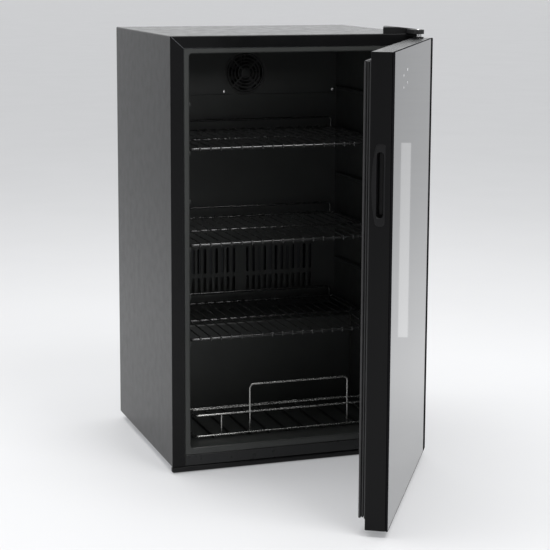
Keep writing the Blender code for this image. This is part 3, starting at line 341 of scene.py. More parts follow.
def surface(
    name,
    colour,
    roughness,
    metallic=0.0,
    mottle=0.08,
    patch=0.06,
    uneven=0.04,
    grain=0.0,
    grain_size=0.001,
    waves=0.0,
    wave_size=0.01,
    stretch=(1, 1, 1),
    **sockets,
):
    """A Principled material with uneven colour and roughness, and a bump of grain over slow waves."""
    made = bpy.data.materials.new(name)
    made.use_nodes = True
    tree = made.node_tree
    shader = tree.nodes["Principled BSDF"]
    shader.inputs["Metallic"].default_value = metallic
    for socket, value in sockets.items():
        shader.inputs[socket.replace("_", " ")].default_value = value
    coordinates = tree.nodes.new("ShaderNodeTexCoord")
    mapping = tree.nodes.new("ShaderNodeMapping")
    mapping.inputs["Scale"].default_value = stretch
    tree.links.new(coordinates.outputs["Object"], mapping.inputs["Vector"])
    place = mapping.outputs["Vector"]
    patches = noise(tree, place, patch)
    tint = tree.nodes.new("ShaderNodeMix")
    tint.data_type = "RGBA"
    dark = [channel * (1 - mottle) for channel in colour]
    light = [min(1, channel * (1 + mottle)) for channel in colour]
    for socket in tint.inputs:
        if socket.type == "RGBA":
            socket.default_value = (*(dark if socket.name == "A" else light), 1)
    tree.links.new(spread(tree, patches, 0, 1), tint.inputs["Factor"])
    result = [socket for socket in tint.outputs if socket.type == "RGBA"][0]
    tree.links.new(result, shader.inputs["Base Color"])
    worn = noise(tree, place, patch * 0.35, 5.0)
    low, high = max(0.005, roughness - uneven), min(1, roughness + uneven)
    tree.links.new(spread(tree, worn, low, high), shader.inputs["Roughness"])
    normal = None
    for height, size in ((waves, wave_size), (grain, grain_size)):
        if not height:
            continue
        bump = tree.nodes.new("ShaderNodeBump")
        bump.inputs["Distance"].default_value = height
        tree.links.new(noise(tree, place, size, 2.0), bump.inputs["Height"])
        if normal:
            tree.links.new(normal, bump.inputs["Normal"])
        normal = bump.outputs["Normal"]
    if normal:
        tree.links.new(normal, shader.inputs["Normal"])
    return made


PAINT = surface(
    "black_powder_coat", (0.005, 0.005, 0.0054), 0.22, grain=0.000006, grain_size=0.0012,
    waves=0.000006, wave_size=0.012, Specular_IOR_Level=0.14,
)
REAR_PAINT = surface(
    "black_rear_paint", (0.014, 0.014, 0.0145), 0.45, grain=0.000015, grain_size=0.001,
    Specular_IOR_Level=0.4,
)
LINER = surface(
    "dark_liner_plastic", (0.028, 0.030, 0.0285), 0.40, grain=0.00001, grain_size=0.0009,
    waves=0.00003, wave_size=0.02,
)
PLASTIC = surface(
    "black_moulded_plastic", (0.0065, 0.0065, 0.007), 0.36, grain=0.00002, grain_size=0.0007,
    Specular_IOR_Level=0.22,
)
GRILLE = surface("grille_plastic", (0.030, 0.031, 0.030), 0.34, grain=0.00001, grain_size=0.0008)
# The evaporator's fins get a near-black colour: painted shade for fins that sit in shadow behind the vents
FIN_PAINTED_SHADE = surface(
    "dark_fins_painted_shade", (0.012, 0.013, 0.016), 0.5, mottle=0.2, patch=0.02, uneven=0.08,
    grain=0.00002, grain_size=0.0015,
)
FRAME = surface(
    "black_door_frame", (0.005, 0.005, 0.0053), 0.22, grain=0.000004, grain_size=0.0012,
    stretch=(1, 1, 0.06), Specular_IOR_Level=0.12,
)
MIRROR = surface(
    "tinted_mirror_glass", (0.133, 0.135, 0.137), 0.018, 1.0, mottle=0.01, patch=0.12, uneven=0.008,
    waves=0.000004, wave_size=0.09,
)
GLASS_EDGE = surface(
    "black_glass_border", (0.010, 0.010, 0.011), 0.85, patch=0.05, uneven=0.05, Specular_IOR_Level=0.0
)
INNER_GLASS = surface(
    "inner_pane_glass", (0.75, 0.78, 0.77), 0.03, mottle=0.02, patch=0.15, uneven=0.015,
    Transmission_Weight=1.0, IOR=1.5,
)
WIRE = surface(
    "black_coated_wire", (0.012, 0.012, 0.012), 0.24, patch=0.01, uneven=0.06,
    waves=0.000012, wave_size=0.006, Coat_Weight=0.8, Coat_Roughness=0.10,
)
RACK_WIRE = surface(
    "nickel_plated_wire", (0.42, 0.42, 0.405), 0.28, 1.0, mottle=0.12, patch=0.012, uneven=0.07,
    waves=0.000006, wave_size=0.004,
)
# A darker copy of the rack's nickel wire for its floor wires: painted shade at the bottom of the dark cabinet
RACK_PAINTED_SHADE = surface(
    "rack_floor_wire_painted_shade", (0.09, 0.09, 0.088), 0.42, 1.0, mottle=0.12, patch=0.012, uneven=0.07,
    waves=0.000006, wave_size=0.004,
)
# Lighter metal-grey finish for the shell's turned-in lip and mitre grooves: a painted highlight standing in
# for the light caught by the black painted folds
EDGE_PAINTED_HIGHLIGHT = surface(
    "sheet_edge_painted_highlight", (0.24, 0.25, 0.26), 0.32, 0.8, mottle=0.1, patch=0.01, uneven=0.06,
    grain=0.000004, grain_size=0.0008,
)
# The sill's black paint is made about three times lighter than the shell's: painted reflection of the bright
# floor in front, which the low sill catches
SILL_PAINTED_REFLECTION = surface(
    "sill_paint_painted_reflection", (0.017, 0.0175, 0.018), 0.30, grain=0.000006, grain_size=0.0012,
    Specular_IOR_Level=0.22,
)
STEEL = surface(
    "bright_steel", (0.66, 0.66, 0.66), 0.22, 1.0, mottle=0.06, patch=0.004, uneven=0.06,
    grain=0.00001, grain_size=0.0004,
)
ZINC = surface(
    "zinc_plated_steel", (0.42, 0.43, 0.44), 0.42, 1.0, mottle=0.2, patch=0.018, uneven=0.1,
    grain=0.00002, grain_size=0.002,
)
RUBBER = surface(
    "gasket_vinyl", (0.030, 0.030, 0.031), 0.46, mottle=0.1, patch=0.03, uneven=0.06,
    grain=0.00002, grain_size=0.0012,
)
ROLLER_NYLON = surface(
    "roller_nylon", (0.06, 0.06, 0.062), 0.45, mottle=0.12, patch=0.006, uneven=0.08,
    grain=0.00003, grain_size=0.001,
)
MARK = surface("printed_marks", (0.85, 0.86, 0.87), 0.35, patch=0.004, uneven=0.05)
# Foam darkened to a dark grey-brown: painted shade, so that the foam seen through the narrow gaps between
# liner, shell and sill reads as dark seams
FOAM_PAINTED_SHADE = surface(
    "dark_foam_painted_shade", (0.10, 0.095, 0.08), 0.85, mottle=0.2, patch=0.02, uneven=0.08,
    grain=0.0006, grain_size=0.003,
)
ALUMINIUM = surface(
    "fin_aluminium", (0.55, 0.56, 0.57), 0.34, 1.0, mottle=0.12, patch=0.02, uneven=0.08,
    grain=0.00002, grain_size=0.0015,
)
COPPER = surface(
    "aged_copper", (0.45, 0.22, 0.11), 0.36, 1.0, mottle=0.25, patch=0.012, uneven=0.1,
    grain=0.00002, grain_size=0.0015,
)
CIRCUIT = surface(
    "circuit_board", (0.02, 0.09, 0.035), 0.42, mottle=0.35, patch=0.004, uneven=0.1,
    grain=0.00005, grain_size=0.0015,
)
FLOOR_LOOK = surface(
    "studio_floor", (0.46, 0.46, 0.463), 0.62, mottle=0.01, patch=0.8, uneven=0.04,
    grain=0.00002, grain_size=0.004, Specular_IOR_Level=0.2,
    Emission_Color=(0.96, 0.97, 1.0, 1), Emission_Strength=0.27,
)

# Shapes that stay as they are in CAD, and their materials
KEPT = {
    "insulation_foam": FOAM_PAINTED_SHADE,
    "machine_step": ZINC,
    "glass_spacer": ALUMINIUM,
    "control_board": CIRCUIT,
    "base_pan": ZINC,
    "fan_motor": ZINC,
    "evaporator": FIN_PAINTED_SHADE,
    "drain_tube": PLASTIC,
    "condenser_coil": COPPER,
    "compressor_mount": ZINC,
    "starter_box": PLASTIC,
    "drip_tray": PLASTIC,
    "inner_glass": INNER_GLASS,
    "top_bush": PLASTIC,
    "bottom_bush": PLASTIC,
    "bottom_hinge_pin": STEEL,
    "left_roller_axle": STEEL,
    "right_roller_axle": STEEL,
}
for node, finish in KEPT.items():
    mesh = frame["nodes"][node].data
    mesh.materials.clear()
    mesh.materials.append(finish)

# ----------------------------------------------------------------------------- cabinet

SHEET = 0.001
FOLD = 0.002
RETURN_DEPTH = 0.010
LIP = 0.001
MITRE_WIDTH = 0.0009
LIP_START = 0.00003
EDGE_CLEAR = 0.004


def oriented(bm, probe, axis, sign):
    """Faces wound one way, so that the face picked by the probe looks along the axis."""
    bmesh.ops.recalc_face_normals(bm, faces=bm.faces)
    face = next(face for face in bm.faces if probe(face))
    face.normal_update()
    if face.normal[axis] * sign < 0:
        bmesh.ops.reverse_faces(bm, faces=bm.faces)
    return bm


def v_groove(start, end, width):
    """A square bar on its edge, which cuts a V along a line on the front face."""
    start, end = Vector(start), Vector(end)
    run = end - start
    turn = UP.rotation_difference(run).to_matrix().to_4x4()
    half = width / math.sqrt(2) / 2
    bar = block((-half, -half, 0), (half, half, run.length))
    lie = Matrix.Translation(start) @ turn @ Matrix.Rotation(math.radians(45), 4, "Z")
    bmesh.ops.transform(bar, matrix=lie, verts=bar.verts)
    return bar


def build_shell():
    """One folded sheet: sides, top, mitred front flanges and their returns."""
    flange = SILL_LOW.x - GAP
    mouth = (flange, WIDTH - flange)
    bm = bmesh.new()
    front = [bm.verts.new((x, 0, z)) for x, z in ((0, BASE), (0, TOP), (WIDTH, TOP), (WIDTH, BASE))]
    back = [bm.verts.new((v.co.x, DEPTH, v.co.z)) for v in front]
    lips = ((mouth[0], BASE), (mouth[0], FLANGE_TOP), (mouth[1], FLANGE_TOP), (mouth[1], BASE))
    inner = [bm.verts.new((x, 0, z)) for x, z in lips]
    folded = [bm.verts.new((x, RETURN_DEPTH, z)) for x, z in lips]
    for rows in ((back, front), (front, inner), (inner, folded)):
        for k in range(3):
            bm.faces.new((rows[0][k], rows[0][k + 1], rows[1][k + 1], rows[1][k]))
    oriented(bm, lambda face: all(v.co.z > TOP - GAP for v in face.verts), Z, 1)
    lip_edges = [bm.edges.get((inner[k], inner[k + 1])) for k in range(3)]
    bmesh.ops.bevel(bm, geom=lip_edges, offset=LIP, segments=3, profile=0.5, affect="EDGES")
    fold_edges = []
    for edge in bm.edges:
        ends = [v.co for v in edge.verts]
        on_front = all(end.y < GAP for end in ends)
        on_side = all(end.x < GAP or end.x > WIDTH - GAP for end in ends)
        on_top = all(end.z > TOP - GAP for end in ends)
        along = abs(ends[0].y - ends[1].y) > DEPTH / 2
        if (on_front and (on_side or on_top)) or (along and on_side and on_top):
            fold_edges.append(edge)
    bmesh.ops.bevel(bm, geom=fold_edges, offset=FOLD, segments=4, profile=0.5, affect="EDGES")
    reach = 0.004
    grooves = []
    for x, way in ((0, 1), (WIDTH, -1)):
        run = Vector((way * flange, 0, FLANGE_TOP - TOP))
        start = Vector((x, 0, TOP)) - run.normalized() * reach
        grooves.append(v_groove(start, start + run + run.normalized() * 2 * reach, MITRE_WIDTH))
    data = baked(bm, SHEET, grooves)
    # Faces of the turned-in lip and the mitre grooves take the lighter edge finish, a painted highlight on
    # the folds
    for face in data.polygons:
        middle = face.center
        turned_in = LIP_START < middle.y < LIP and 0.3 < abs(face.normal.y) < 0.95
        within = EDGE_CLEAR < middle.x < WIDTH - EDGE_CLEAR and middle.z < TOP - EDGE_CLEAR
        face.material_index = 1 if turned_in and within else 0
    piece("shell_sheet", data, (PAINT, EDGE_PAINTED_HIGHLIGHT), ("outer_shell",))


def folded_sheet(profile, start, end, radius, up):
    """A sheet bent along a (y, z) profile and run along x."""
    points = filleted([(0, y, z) for y, z in profile], radius, 4)
    bm = bmesh.new()
    rows = [[bm.verts.new((x, p.y, p.z)) for p in points] for x in (start, end)]
    for k in range(len(points) - 1):
        bm.faces.new((rows[0][k], rows[0][k + 1], rows[1][k + 1], rows[1][k]))
    bmesh.ops.recalc_face_normals(bm, faces=bm.faces)
    bm.faces.ensure_lookup_table()
    if bm.faces[0].normal.z * up < 0:
        bmesh.ops.reverse_faces(bm, faces=bm.faces)
    return bm


def build_sill():
    profile = ((SILL_HIGH.y, BASE), (0, BASE), (0, SILL_HIGH.z), (RETURN_DEPTH, SILL_HIGH.z))
    bm = folded_sheet(profile, SILL_LOW.x + GAP, SILL_HIGH.x - GAP, LIP * 1.5, -1)
    piece("sill_sheet", baked(bm, SHEET), SILL_PAINTED_REFLECTION, ("front_sill",))


MOUTH_ROUND = 0.0025
MOUTH_CORNER = 0.006
LINER_STEP = 0.0008
HUMP_FRONT = 0.250
HUMP_TOP = 0.224
HUMP_ROUND = 0.008
LEDGE_FRONT, LEDGE_BACK = 0.020, 0.330
LEDGE_REACH, LEDGE_THICKNESS = 0.008, 0.008
LEDGE_COUNT, LEDGE_PITCH, FIRST_LEDGE = 6, 0.0895, 0.1975


def build_liner():
    """The moulded liner: flange, rounded mouth, tunnel, the hump at its foot and the shelf ledges."""
    edge_x, edge_low, edge_high = LINER_LOW.x, LINER_LOW.z, LINER_HIGH.z
    back = LINER_HIGH.y
    loops = []
    for inset, y in ((0, 0.012), (0, 0.0014), (0.0006, LINER_STEP)):
        outline = round_rect(
            edge_x + inset, edge_low + inset, WIDTH - edge_x - inset, edge_high - inset, 0.002
        )
        loops.append(at_y(outline, y))
    for step in range(6):
        angle = math.radians(90 * step / 5)
        grow = MOUTH_ROUND * (1 - math.sin(angle))
        y = LINER_STEP + MOUTH_ROUND * (1 - math.cos(angle))
        outline = round_rect(
            OPEN_LEFT - grow, OPEN_LOW - grow, OPEN_RIGHT + grow, OPEN_HIGH + grow, MOUTH_CORNER + grow
        )
        loops.append(at_y(outline, y))
    inner = round_rect(OPEN_LEFT, OPEN_LOW, OPEN_RIGHT, OPEN_HIGH, MOUTH_CORNER)
    loops.append(at_y(inner, back))
    bm = bmesh.new()
    tunnel = loft(loops, capped=False)
    tunnel.verts.ensure_lookup_table()
    tunnel.faces.new(tunnel.verts[-len(inner):])
    oriented(tunnel, lambda face: all(v.co.y > back - GAP for v in face.verts), Y, -1)
    shell = baked(tunnel, 0.0013)
    bm.from_mesh(shell)
    bpy.data.meshes.remove(shell)
    hump = block(
        (OPEN_LEFT - GAP, HUMP_FRONT, OPEN_LOW - HUMP_ROUND), (OPEN_RIGHT + GAP, back + GAP, HUMP_TOP),
        HUMP_ROUND * 0.6, 4,
    )
    put(bm, hump)
    for number in range(LEDGE_COUNT):
        z = OPEN_LOW + FIRST_LEDGE + number * LEDGE_PITCH
        for wall, way in ((OPEN_LEFT, 1), (OPEN_RIGHT, -1)):
            ends = sorted((wall - way * 0.001, wall + way * LEDGE_REACH))
            ledge = block(
                (ends[0], LEDGE_FRONT, z - LEDGE_THICKNESS), (ends[1], LEDGE_BACK, z), 0.0022, 4
            )
            put(bm, ledge)
    piece("liner_moulding", bm, LINER, ("inner_liner",))


def slot_cutter(x, low, high, width, y0, y1):
    """A slot with round ends, cut along y."""
    outline = round_rect(x - width / 2, low, x + width / 2, high, width / 2, 4)
    return loft([at_y(outline, y0), at_y(outline, y1)])


VENT_SLOTS, VENT_PITCH, VENT_WIDTH, VENT_GROUP_GAP = 12, 0.0125, 0.0065, 0.018
VENT_EDGE, VENT_LOWER, VENT_UPPER, VENT_BAR = 0.005, 0.037, 0.053, 0.008


def build_inner_wall():
    """The rear wall's two panels, the lower one with its vents and the upper one with the fan's hole."""
    vents = bmesh.new()
    rows = (
        (COVER_LOW.z + VENT_EDGE, VENT_LOWER),
        (COVER_LOW.z + VENT_EDGE + VENT_LOWER + VENT_BAR, VENT_UPPER),
    )
    for side in (-1, 1):
        for number in range(VENT_SLOTS):
            x = WIDTH / 2 + side * (VENT_GROUP_GAP / 2 + VENT_PITCH * (number + 0.5))
            for low, height in rows:
                depths = (COVER_LOW.y - 0.01, COVER_HIGH.y + 0.01)
                put(vents, slot_cutter(x, low, low + height, VENT_WIDTH, *depths))
    data = baked(block(COVER_LOW, COVER_HIGH), cutters=(vents,), bevel=0.0004)
    piece("cover_panel", data, LINER, ("evaporator_cover",))
    hole = turned(((FAN_HOLE, -0.01), (FAN_HOLE, 0.01)), 64)
    bmesh.ops.transform(hole, matrix=moved(FAN_X, PANEL_LOW.y, FAN_Z) @ TO_Y, verts=hole.verts)
    data = baked(block(PANEL_LOW, PANEL_HIGH), cutters=(hole,), bevel=0.0005)
    piece("fan_wall", data, LINER, ("fan_panel",))


FAN_HOLE = 0.040
GRILLE_LOW, GRILLE_HIGH = corners("fan_grille")
FAN_X, FAN_Z = (GRILLE_LOW.x + GRILLE_HIGH.x) / 2, (GRILLE_LOW.z + GRILLE_HIGH.z) / 2
GRILLE_RADIUS = (GRILLE_HIGH.x - GRILLE_LOW.x) / 2
GRILLE_RINGS, RING_WIDTH, RING_STEP = 6, 0.0022, 0.0068


def build_grille():
    """Round-edged rings joined by two crossed bars and a domed hub."""
    back, front = GRILLE_HIGH.y + GAP / 2, GRILLE_LOW.y
    thick = (back - front) / 2
    bm = bmesh.new()
    face = moved(FAN_X, (back + front) / 2, FAN_Z) @ TO_FRONT
    for number in range(GRILLE_RINGS):
        radius = GRILLE_RADIUS - RING_WIDTH / 2 - number * RING_STEP
        profile = [
            (radius + x, z) for x, z in round_rect(-RING_WIDTH / 2, -thick, RING_WIDTH / 2, thick, 0.0006, 3)
        ]
        put(bm, turned(profile, 72, ring=True), face)
    reach = GRILLE_RADIUS - RING_WIDTH / 2
    for angle in (45, 135):
        bar = block(
            (-reach, -RING_WIDTH * 0.6, -thick * 0.9), (reach, RING_WIDTH * 0.6, thick * 0.9), 0.0005, 2
        )
        put(bm, bar, face @ Matrix.Rotation(math.radians(angle), 4, "Z"))
    hub = GRILLE_RADIUS - GRILLE_RINGS * RING_STEP + 0.004
    dome = [(0, thick * 1.0), (hub * 0.7, thick * 0.95), (hub, thick * 0.4), (hub, -thick), (0, -thick)]
    put(bm, turned(dome, 32), face)
    piece("grille_rings", bm, GRILLE, ("fan_grille",))


def build_fan():
    """A hub with seven swept and twisted blades, inside a square frame with corner holes."""
    low, high = corners("fan_rotor")
    depth = high.y - low.y
    hub_radius, tip_radius, blades = 0.0155, 0.0358, 7
    bm = bmesh.new()
    face = moved(FAN_X, low.y, FAN_Z) @ TO_Y
    rim = 0.0012
    profile = [(0, 0), (hub_radius - rim, 0), (hub_radius, rim), (hub_radius, depth), (0, depth)]
    put(bm, turned(profile, 40), face)
    spans, chords = 6, 5
    for number in range(blades):
        loops = []
        for span in range(spans + 1):
            share = span / spans
            radius = hub_radius * 0.92 + (tip_radius - hub_radius * 0.92) * share
            upper, lower = [], []
            for chord in range(chords + 1):
                along = chord / chords
                angle = math.tau * number / blades + math.radians(16 * share + 34 * along)
                z = depth * (0.08 + 0.84 * along)
                bulge = 0.0012 * math.sin(math.pi * along)
                for side, row in ((1, upper), (-1, lower)):
                    lift = z + side * (0.0003 + 0.0003 * math.sin(math.pi * along)) - bulge
                    row.append((radius * math.cos(angle), radius * math.sin(angle), lift))
            loops.append(upper + lower[::-1])
        put(bm, loft(loops), face)
    piece("fan_blades", bm, PLASTIC, ("fan_rotor",), "evaporator_fan")
    low, high = corners("fan_frame")
    bore = turned(((0.0385, -0.03), (0.0385, 0.03)), 64)
    bmesh.ops.transform(bore, matrix=moved(FAN_X, low.y, FAN_Z) @ TO_Y, verts=bore.verts)
    holes = bmesh.new()
    corner = (high.x - low.x) / 2 - 0.006
    for across in (-1, 1):
        for up in (-1, 1):
            hole = turned(((0.0022, -0.03), (0.0022, 0.03)), 20)
            put(holes, hole, moved(FAN_X + across * corner, low.y, FAN_Z + up * corner) @ TO_Y)
    data = baked(block(low, high, 0.003, 4), cutters=(bore, holes), bevel=0.0003, segments=1)
    housing = bmesh.new()
    housing.from_mesh(data)
    bpy.data.meshes.remove(data)
    half, strut = 0.0395, 0.002
    for turn in (0, 90):
        bar = block((-half, -strut, -0.0038), (half, strut, -0.0004), 0.0006, 2)
        place = moved(FAN_X, high.y, FAN_Z) @ TO_Y @ Matrix.Rotation(math.radians(turn), 4, "Z")
        put(housing, bar, place)
    piece("fan_housing", housing, PLASTIC, ("fan_frame",))


def screw_head(centre, radius, height, facing):
    """A pan head with a cross recess, standing on its centre point."""
    profile = [
        (radius, 0),
        (radius, height * 0.35),
        (radius * 0.9, height * 0.68),
        (radius * 0.62, height * 0.92),
        (0, height),
    ]
    head = turned([(0, 0)] + profile, 32)
    slots = []
    for turn in (20, 110):
        bar = block(
            (-radius * 0.6, -radius * 0.13, height * 0.45), (radius * 0.6, radius * 0.13, height * 1.5)
        )
        bmesh.ops.transform(bar, matrix=Matrix.Rotation(math.radians(turn), 4, "Z"), verts=bar.verts)
        slots.append(bar)
    data = baked(head, cutters=slots)
    data.transform(Matrix.Translation(centre) @ facing)
    return data


def build_screws():
    for node in ("left_cover_screw", "right_cover_screw"):
        low, high = corners(node)
        centre = ((low.x + high.x) / 2, high.y, (low.z + high.z) / 2)
        data = screw_head(centre, (high.x - low.x) / 2, high.y - low.y, TO_FRONT)
        piece(f"{node}_head", data, STEEL, (node,), flat=False)
    for node in ("left_hinge_screw", "right_hinge_screw"):
        low, high = corners(node)
        centre = ((low.x + high.x) / 2, (low.y + high.y) / 2, low.z)
        data = screw_head(centre, (high.x - low.x) / 2, high.z - low.z, Matrix.Identity(4))
        piece(f"{node}_head", data, STEEL, (node,), flat=False)


# ----------------------------------------------------------------------------- rear


RIB_MARGIN, RIB_WIDTH = 0.030, 0.010
REAR_SCREW_INSET = 0.012
REAR_SCREW_RADIUS, REAR_SCREW_HEAD, REAR_SCREW_SUNK = 0.0034, 0.0020, 0.0016


def build_rear():
    """The back: a panel with pressed ribs and screws."""
    low, high = corners("rear_panel")
    margin, groove = RIB_MARGIN, RIB_WIDTH
    bm = bmesh.new()
    steps = ((0, high.y), (margin, high.y), (margin + groove * 0.35, high.y - 0.0006))
    steps += ((margin + groove * 0.65, high.y - 0.0006), (margin + groove, high.y))
    steps += ((margin * 2.6, high.y), (margin * 2.6 + 0.003, high.y - 0.0006))
    loops = []
    for inset, y in steps:
        corner = 0.001 + inset * 0.4
        outline = round_rect(low.x + inset, low.z + inset, high.x - inset, high.z - inset, corner, 8)
        loops.append(at_y(outline, y))
    sheet = loft(loops, capped=False)
    sheet.verts.ensure_lookup_table()
    count = len(loops[-1])
    sheet.faces.new(sheet.verts[-count:])
    oriented(sheet, lambda face: len(face.verts) == count, Y, 1)
    data = baked(sheet, 0.0007)
    bm.from_mesh(data)
    bpy.data.meshes.remove(data)
    piece("rear_sheet", bm, REAR_PAINT, ("rear_panel",))
    heads = bmesh.new()
    spots = []
    edge = REAR_SCREW_INSET
    for x in (low.x + edge, WIDTH / 2, high.x - edge):
        spots += [(x, low.z + edge), (x, high.z - edge)]
    for x in (low.x + edge, high.x - edge):
        spots.append((x, (low.z + high.z) / 2))
    for x, z in spots:
        place = (x, high.y - REAR_SCREW_SUNK, z)
        data = screw_head(place, REAR_SCREW_RADIUS, REAR_SCREW_HEAD, TO_Y)
        heads.from_mesh(data)
        bpy.data.meshes.remove(data)
    piece("rear_screws", heads, STEEL, flat=False)


LOUVRES, LOUVRE_PITCH, LOUVRE_WIDTH, LOUVRE_HEIGHT = 14, 0.024, 0.008, 0.090
HOOD_SHEET, HOOD_SHORT = 0.0004, 0.003


def build_machine_cover():
    """A slotted sheet; each slot has a hood pressed inwards beside it."""
    low, high = corners("machine_cover")
    gland_low, gland_high = corners("cord_gland")
    middle = (low.z + high.z) / 2
    slots, hoods = bmesh.new(), bmesh.new()
    first = WIDTH / 2 - (LOUVRES - 1) * LOUVRE_PITCH / 2
    for number in range(LOUVRES):
        x = first + number * LOUVRE_PITCH
        reach = LOUVRE_HEIGHT / 2
        depths = (low.y - 0.01, high.y + 0.01)
        put(slots, slot_cutter(x, middle - reach, middle + reach, LOUVRE_WIDTH, *depths))
        hood = block(
            (x - LOUVRE_WIDTH / 2, -HOOD_SHEET, middle - reach + HOOD_SHORT),
            (x + LOUVRE_WIDTH / 2, HOOD_SHEET, middle + reach - HOOD_SHORT),
            0.0003,
            2,
        )
        hinge = moved(x - LOUVRE_WIDTH / 2, low.y, 0) @ Matrix.Rotation(math.radians(-38), 4, "Z")
        put(hoods, hood, hinge @ moved(LOUVRE_WIDTH / 2 - x, 0, 0))
    centre = (gland_low + gland_high) / 2
    hole = turned(((0.0094, -0.02), (0.0094, 0.02)), 40)
    bmesh.ops.transform(hole, matrix=moved(centre.x, low.y, centre.z) @ TO_Y, verts=hole.verts)
    data = baked(block(low, high, 0.0003, 2), cutters=(slots, hole), bevel=0.0002, segments=1)
    hoods.from_mesh(data)
    bpy.data.meshes.remove(data)
    piece("louvre_sheet", hoods, REAR_PAINT, ("machine_cover",))
    heads = bmesh.new()
    for x in (low.x + 0.012, WIDTH / 2, high.x - 0.012):
        for z in (low.z + 0.010, high.z - 0.010):
            data = screw_head((x, high.y - 0.0010, z), 0.0034, 0.0014, TO_Y)
            heads.from_mesh(data)
            bpy.data.meshes.remove(data)
    piece("cover_screws", heads, STEEL, flat=False)
    depth = gland_high.y - gland_low.y
    radius = (gland_high.x - gland_low.x) / 2
    profile = [
        (0.0045, 0), (0.0046, depth - 0.001), (0.0056, depth), (radius * 0.8, depth),
        (radius, depth - 0.0014),
        (radius, depth - 0.003), (0.0088, depth - 0.003), (0.0088, 0.0008), (0.0080, 0),
    ]
    gland = turned(profile, 48, ring=True)
    bmesh.ops.transform(gland, matrix=moved(centre.x, gland_low.y, centre.z) @ TO_Y, verts=gland.verts)
    piece("gland_moulding", gland, RUBBER, ("cord_gland",), flat=False)


def build_compressor():
    """The hermetic shell: two deep-drawn halves with a welded seam."""
    low, high = corners("compressor")
    centre = (low + high) / 2
    radius, height = (high.x - low.x) / 2, high.z - low.z
    seam = height * 0.52
    profile = [(0, 0), (radius * 0.7, 0.001), (radius * 0.9, height * 0.06), (radius * 0.985, height * 0.2)]
    profile += [(radius * 0.985, seam - 0.004), (radius, seam - 0.003), (radius, seam + 0.001)]
    profile += [(radius * 0.975, seam + 0.003)]
    for step in range(7):
        angle = math.radians(90 * step / 6)
        profile.append(
            (radius * 0.975 * math.cos(angle), height * 0.62 + height * 0.38 * math.sin(angle))
        )
    body = turned(profile, 56)
    put_at = moved(centre.x, centre.y, low.z)
    bm = put(bmesh.new(), body, put_at)
    piece("compressor_shell", bm, REAR_PAINT, ("compressor",), flat=False)


# ----------------------------------------------------------------------------- shelves and rack

FRAME_RADIUS, CROSS_RADIUS, SHELF_WIRES = 0.0026, 0.0015, 19
SHELF_FRONT, SHELF_BACK = 0.028, 0.336
SHELF_FRAME_ABOVE_LOW = 0.004
RAIL_HEIGHT, NOSE_DROP = 0.021, 0.0065
SHELF_CORNER = 0.009


def build_shelf(node):
    low, high = corners(node)
    left, right = low.x + FRAME_RADIUS, high.x - FRAME_RADIUS
    z = low.z + SHELF_FRAME_ABOVE_LOW
    bm = bmesh.new()
    outline = [(left, SHELF_FRONT, z), (right, SHELF_FRONT, z), (right, SHELF_BACK, z), (left, SHELF_BACK, z)]
    put(bm, tube(filleted(outline, SHELF_CORNER, 6, True), FRAME_RADIUS, 14, True))
    middle = (SHELF_FRONT + SHELF_BACK) / 2
    put(bm, tube([(left, middle, z), (right, middle, z)], FRAME_RADIUS * 0.9, 12))
    ends = (left + 4 * FRAME_RADIUS, right - 4 * FRAME_RADIUS)
    rail = [(ends[0], SHELF_BACK, z), (ends[0], SHELF_BACK, z + RAIL_HEIGHT)]
    rail += [(ends[1], SHELF_BACK, z + RAIL_HEIGHT), (ends[1], SHELF_BACK, z)]
    put(bm, tube(filleted(rail, 0.006, 5), FRAME_RADIUS * 0.8, 12))
    upper = z + FRAME_RADIUS + CROSS_RADIUS - 0.0004
    nose = SHELF_FRONT - FRAME_RADIUS - CROSS_RADIUS + 0.0004
    for number in range(SHELF_WIRES):
        x = left + (number + 1) * (right - left) / (SHELF_WIRES + 1)
        path = [(x, SHELF_BACK + FRAME_RADIUS * 0.6, upper), (x, nose, upper), (x, nose, upper - NOSE_DROP)]
        put(bm, tube(filleted(path, 0.0042, 6), CROSS_RADIUS, 10))
        for y in (SHELF_FRONT, middle, SHELF_BACK):
            weld = turned([(0, -0.0010), (0.0016, -0.0008), (0.0019, 0), (0.0016, 0.0008), (0, 0.0010)], 10)
            put(bm, weld, moved(x, y, z + FRAME_RADIUS * 0.85))
    piece(f"{node}_wires", bm, WIRE, (node,), node, flat=False)


RACK_RADIUS = 0.002
RACK_FRONT, RACK_POCKET, RACK_RAIL, RACK_LOOP_HEIGHT = 0.050, 0.040, 0.041, 0.094
RACK_LOOP_LEFT, RACK_LOOP_WIDTH, RACK_POST, RACK_FLOOR_WIRES = 0.132, 0.200, 0.052, 9


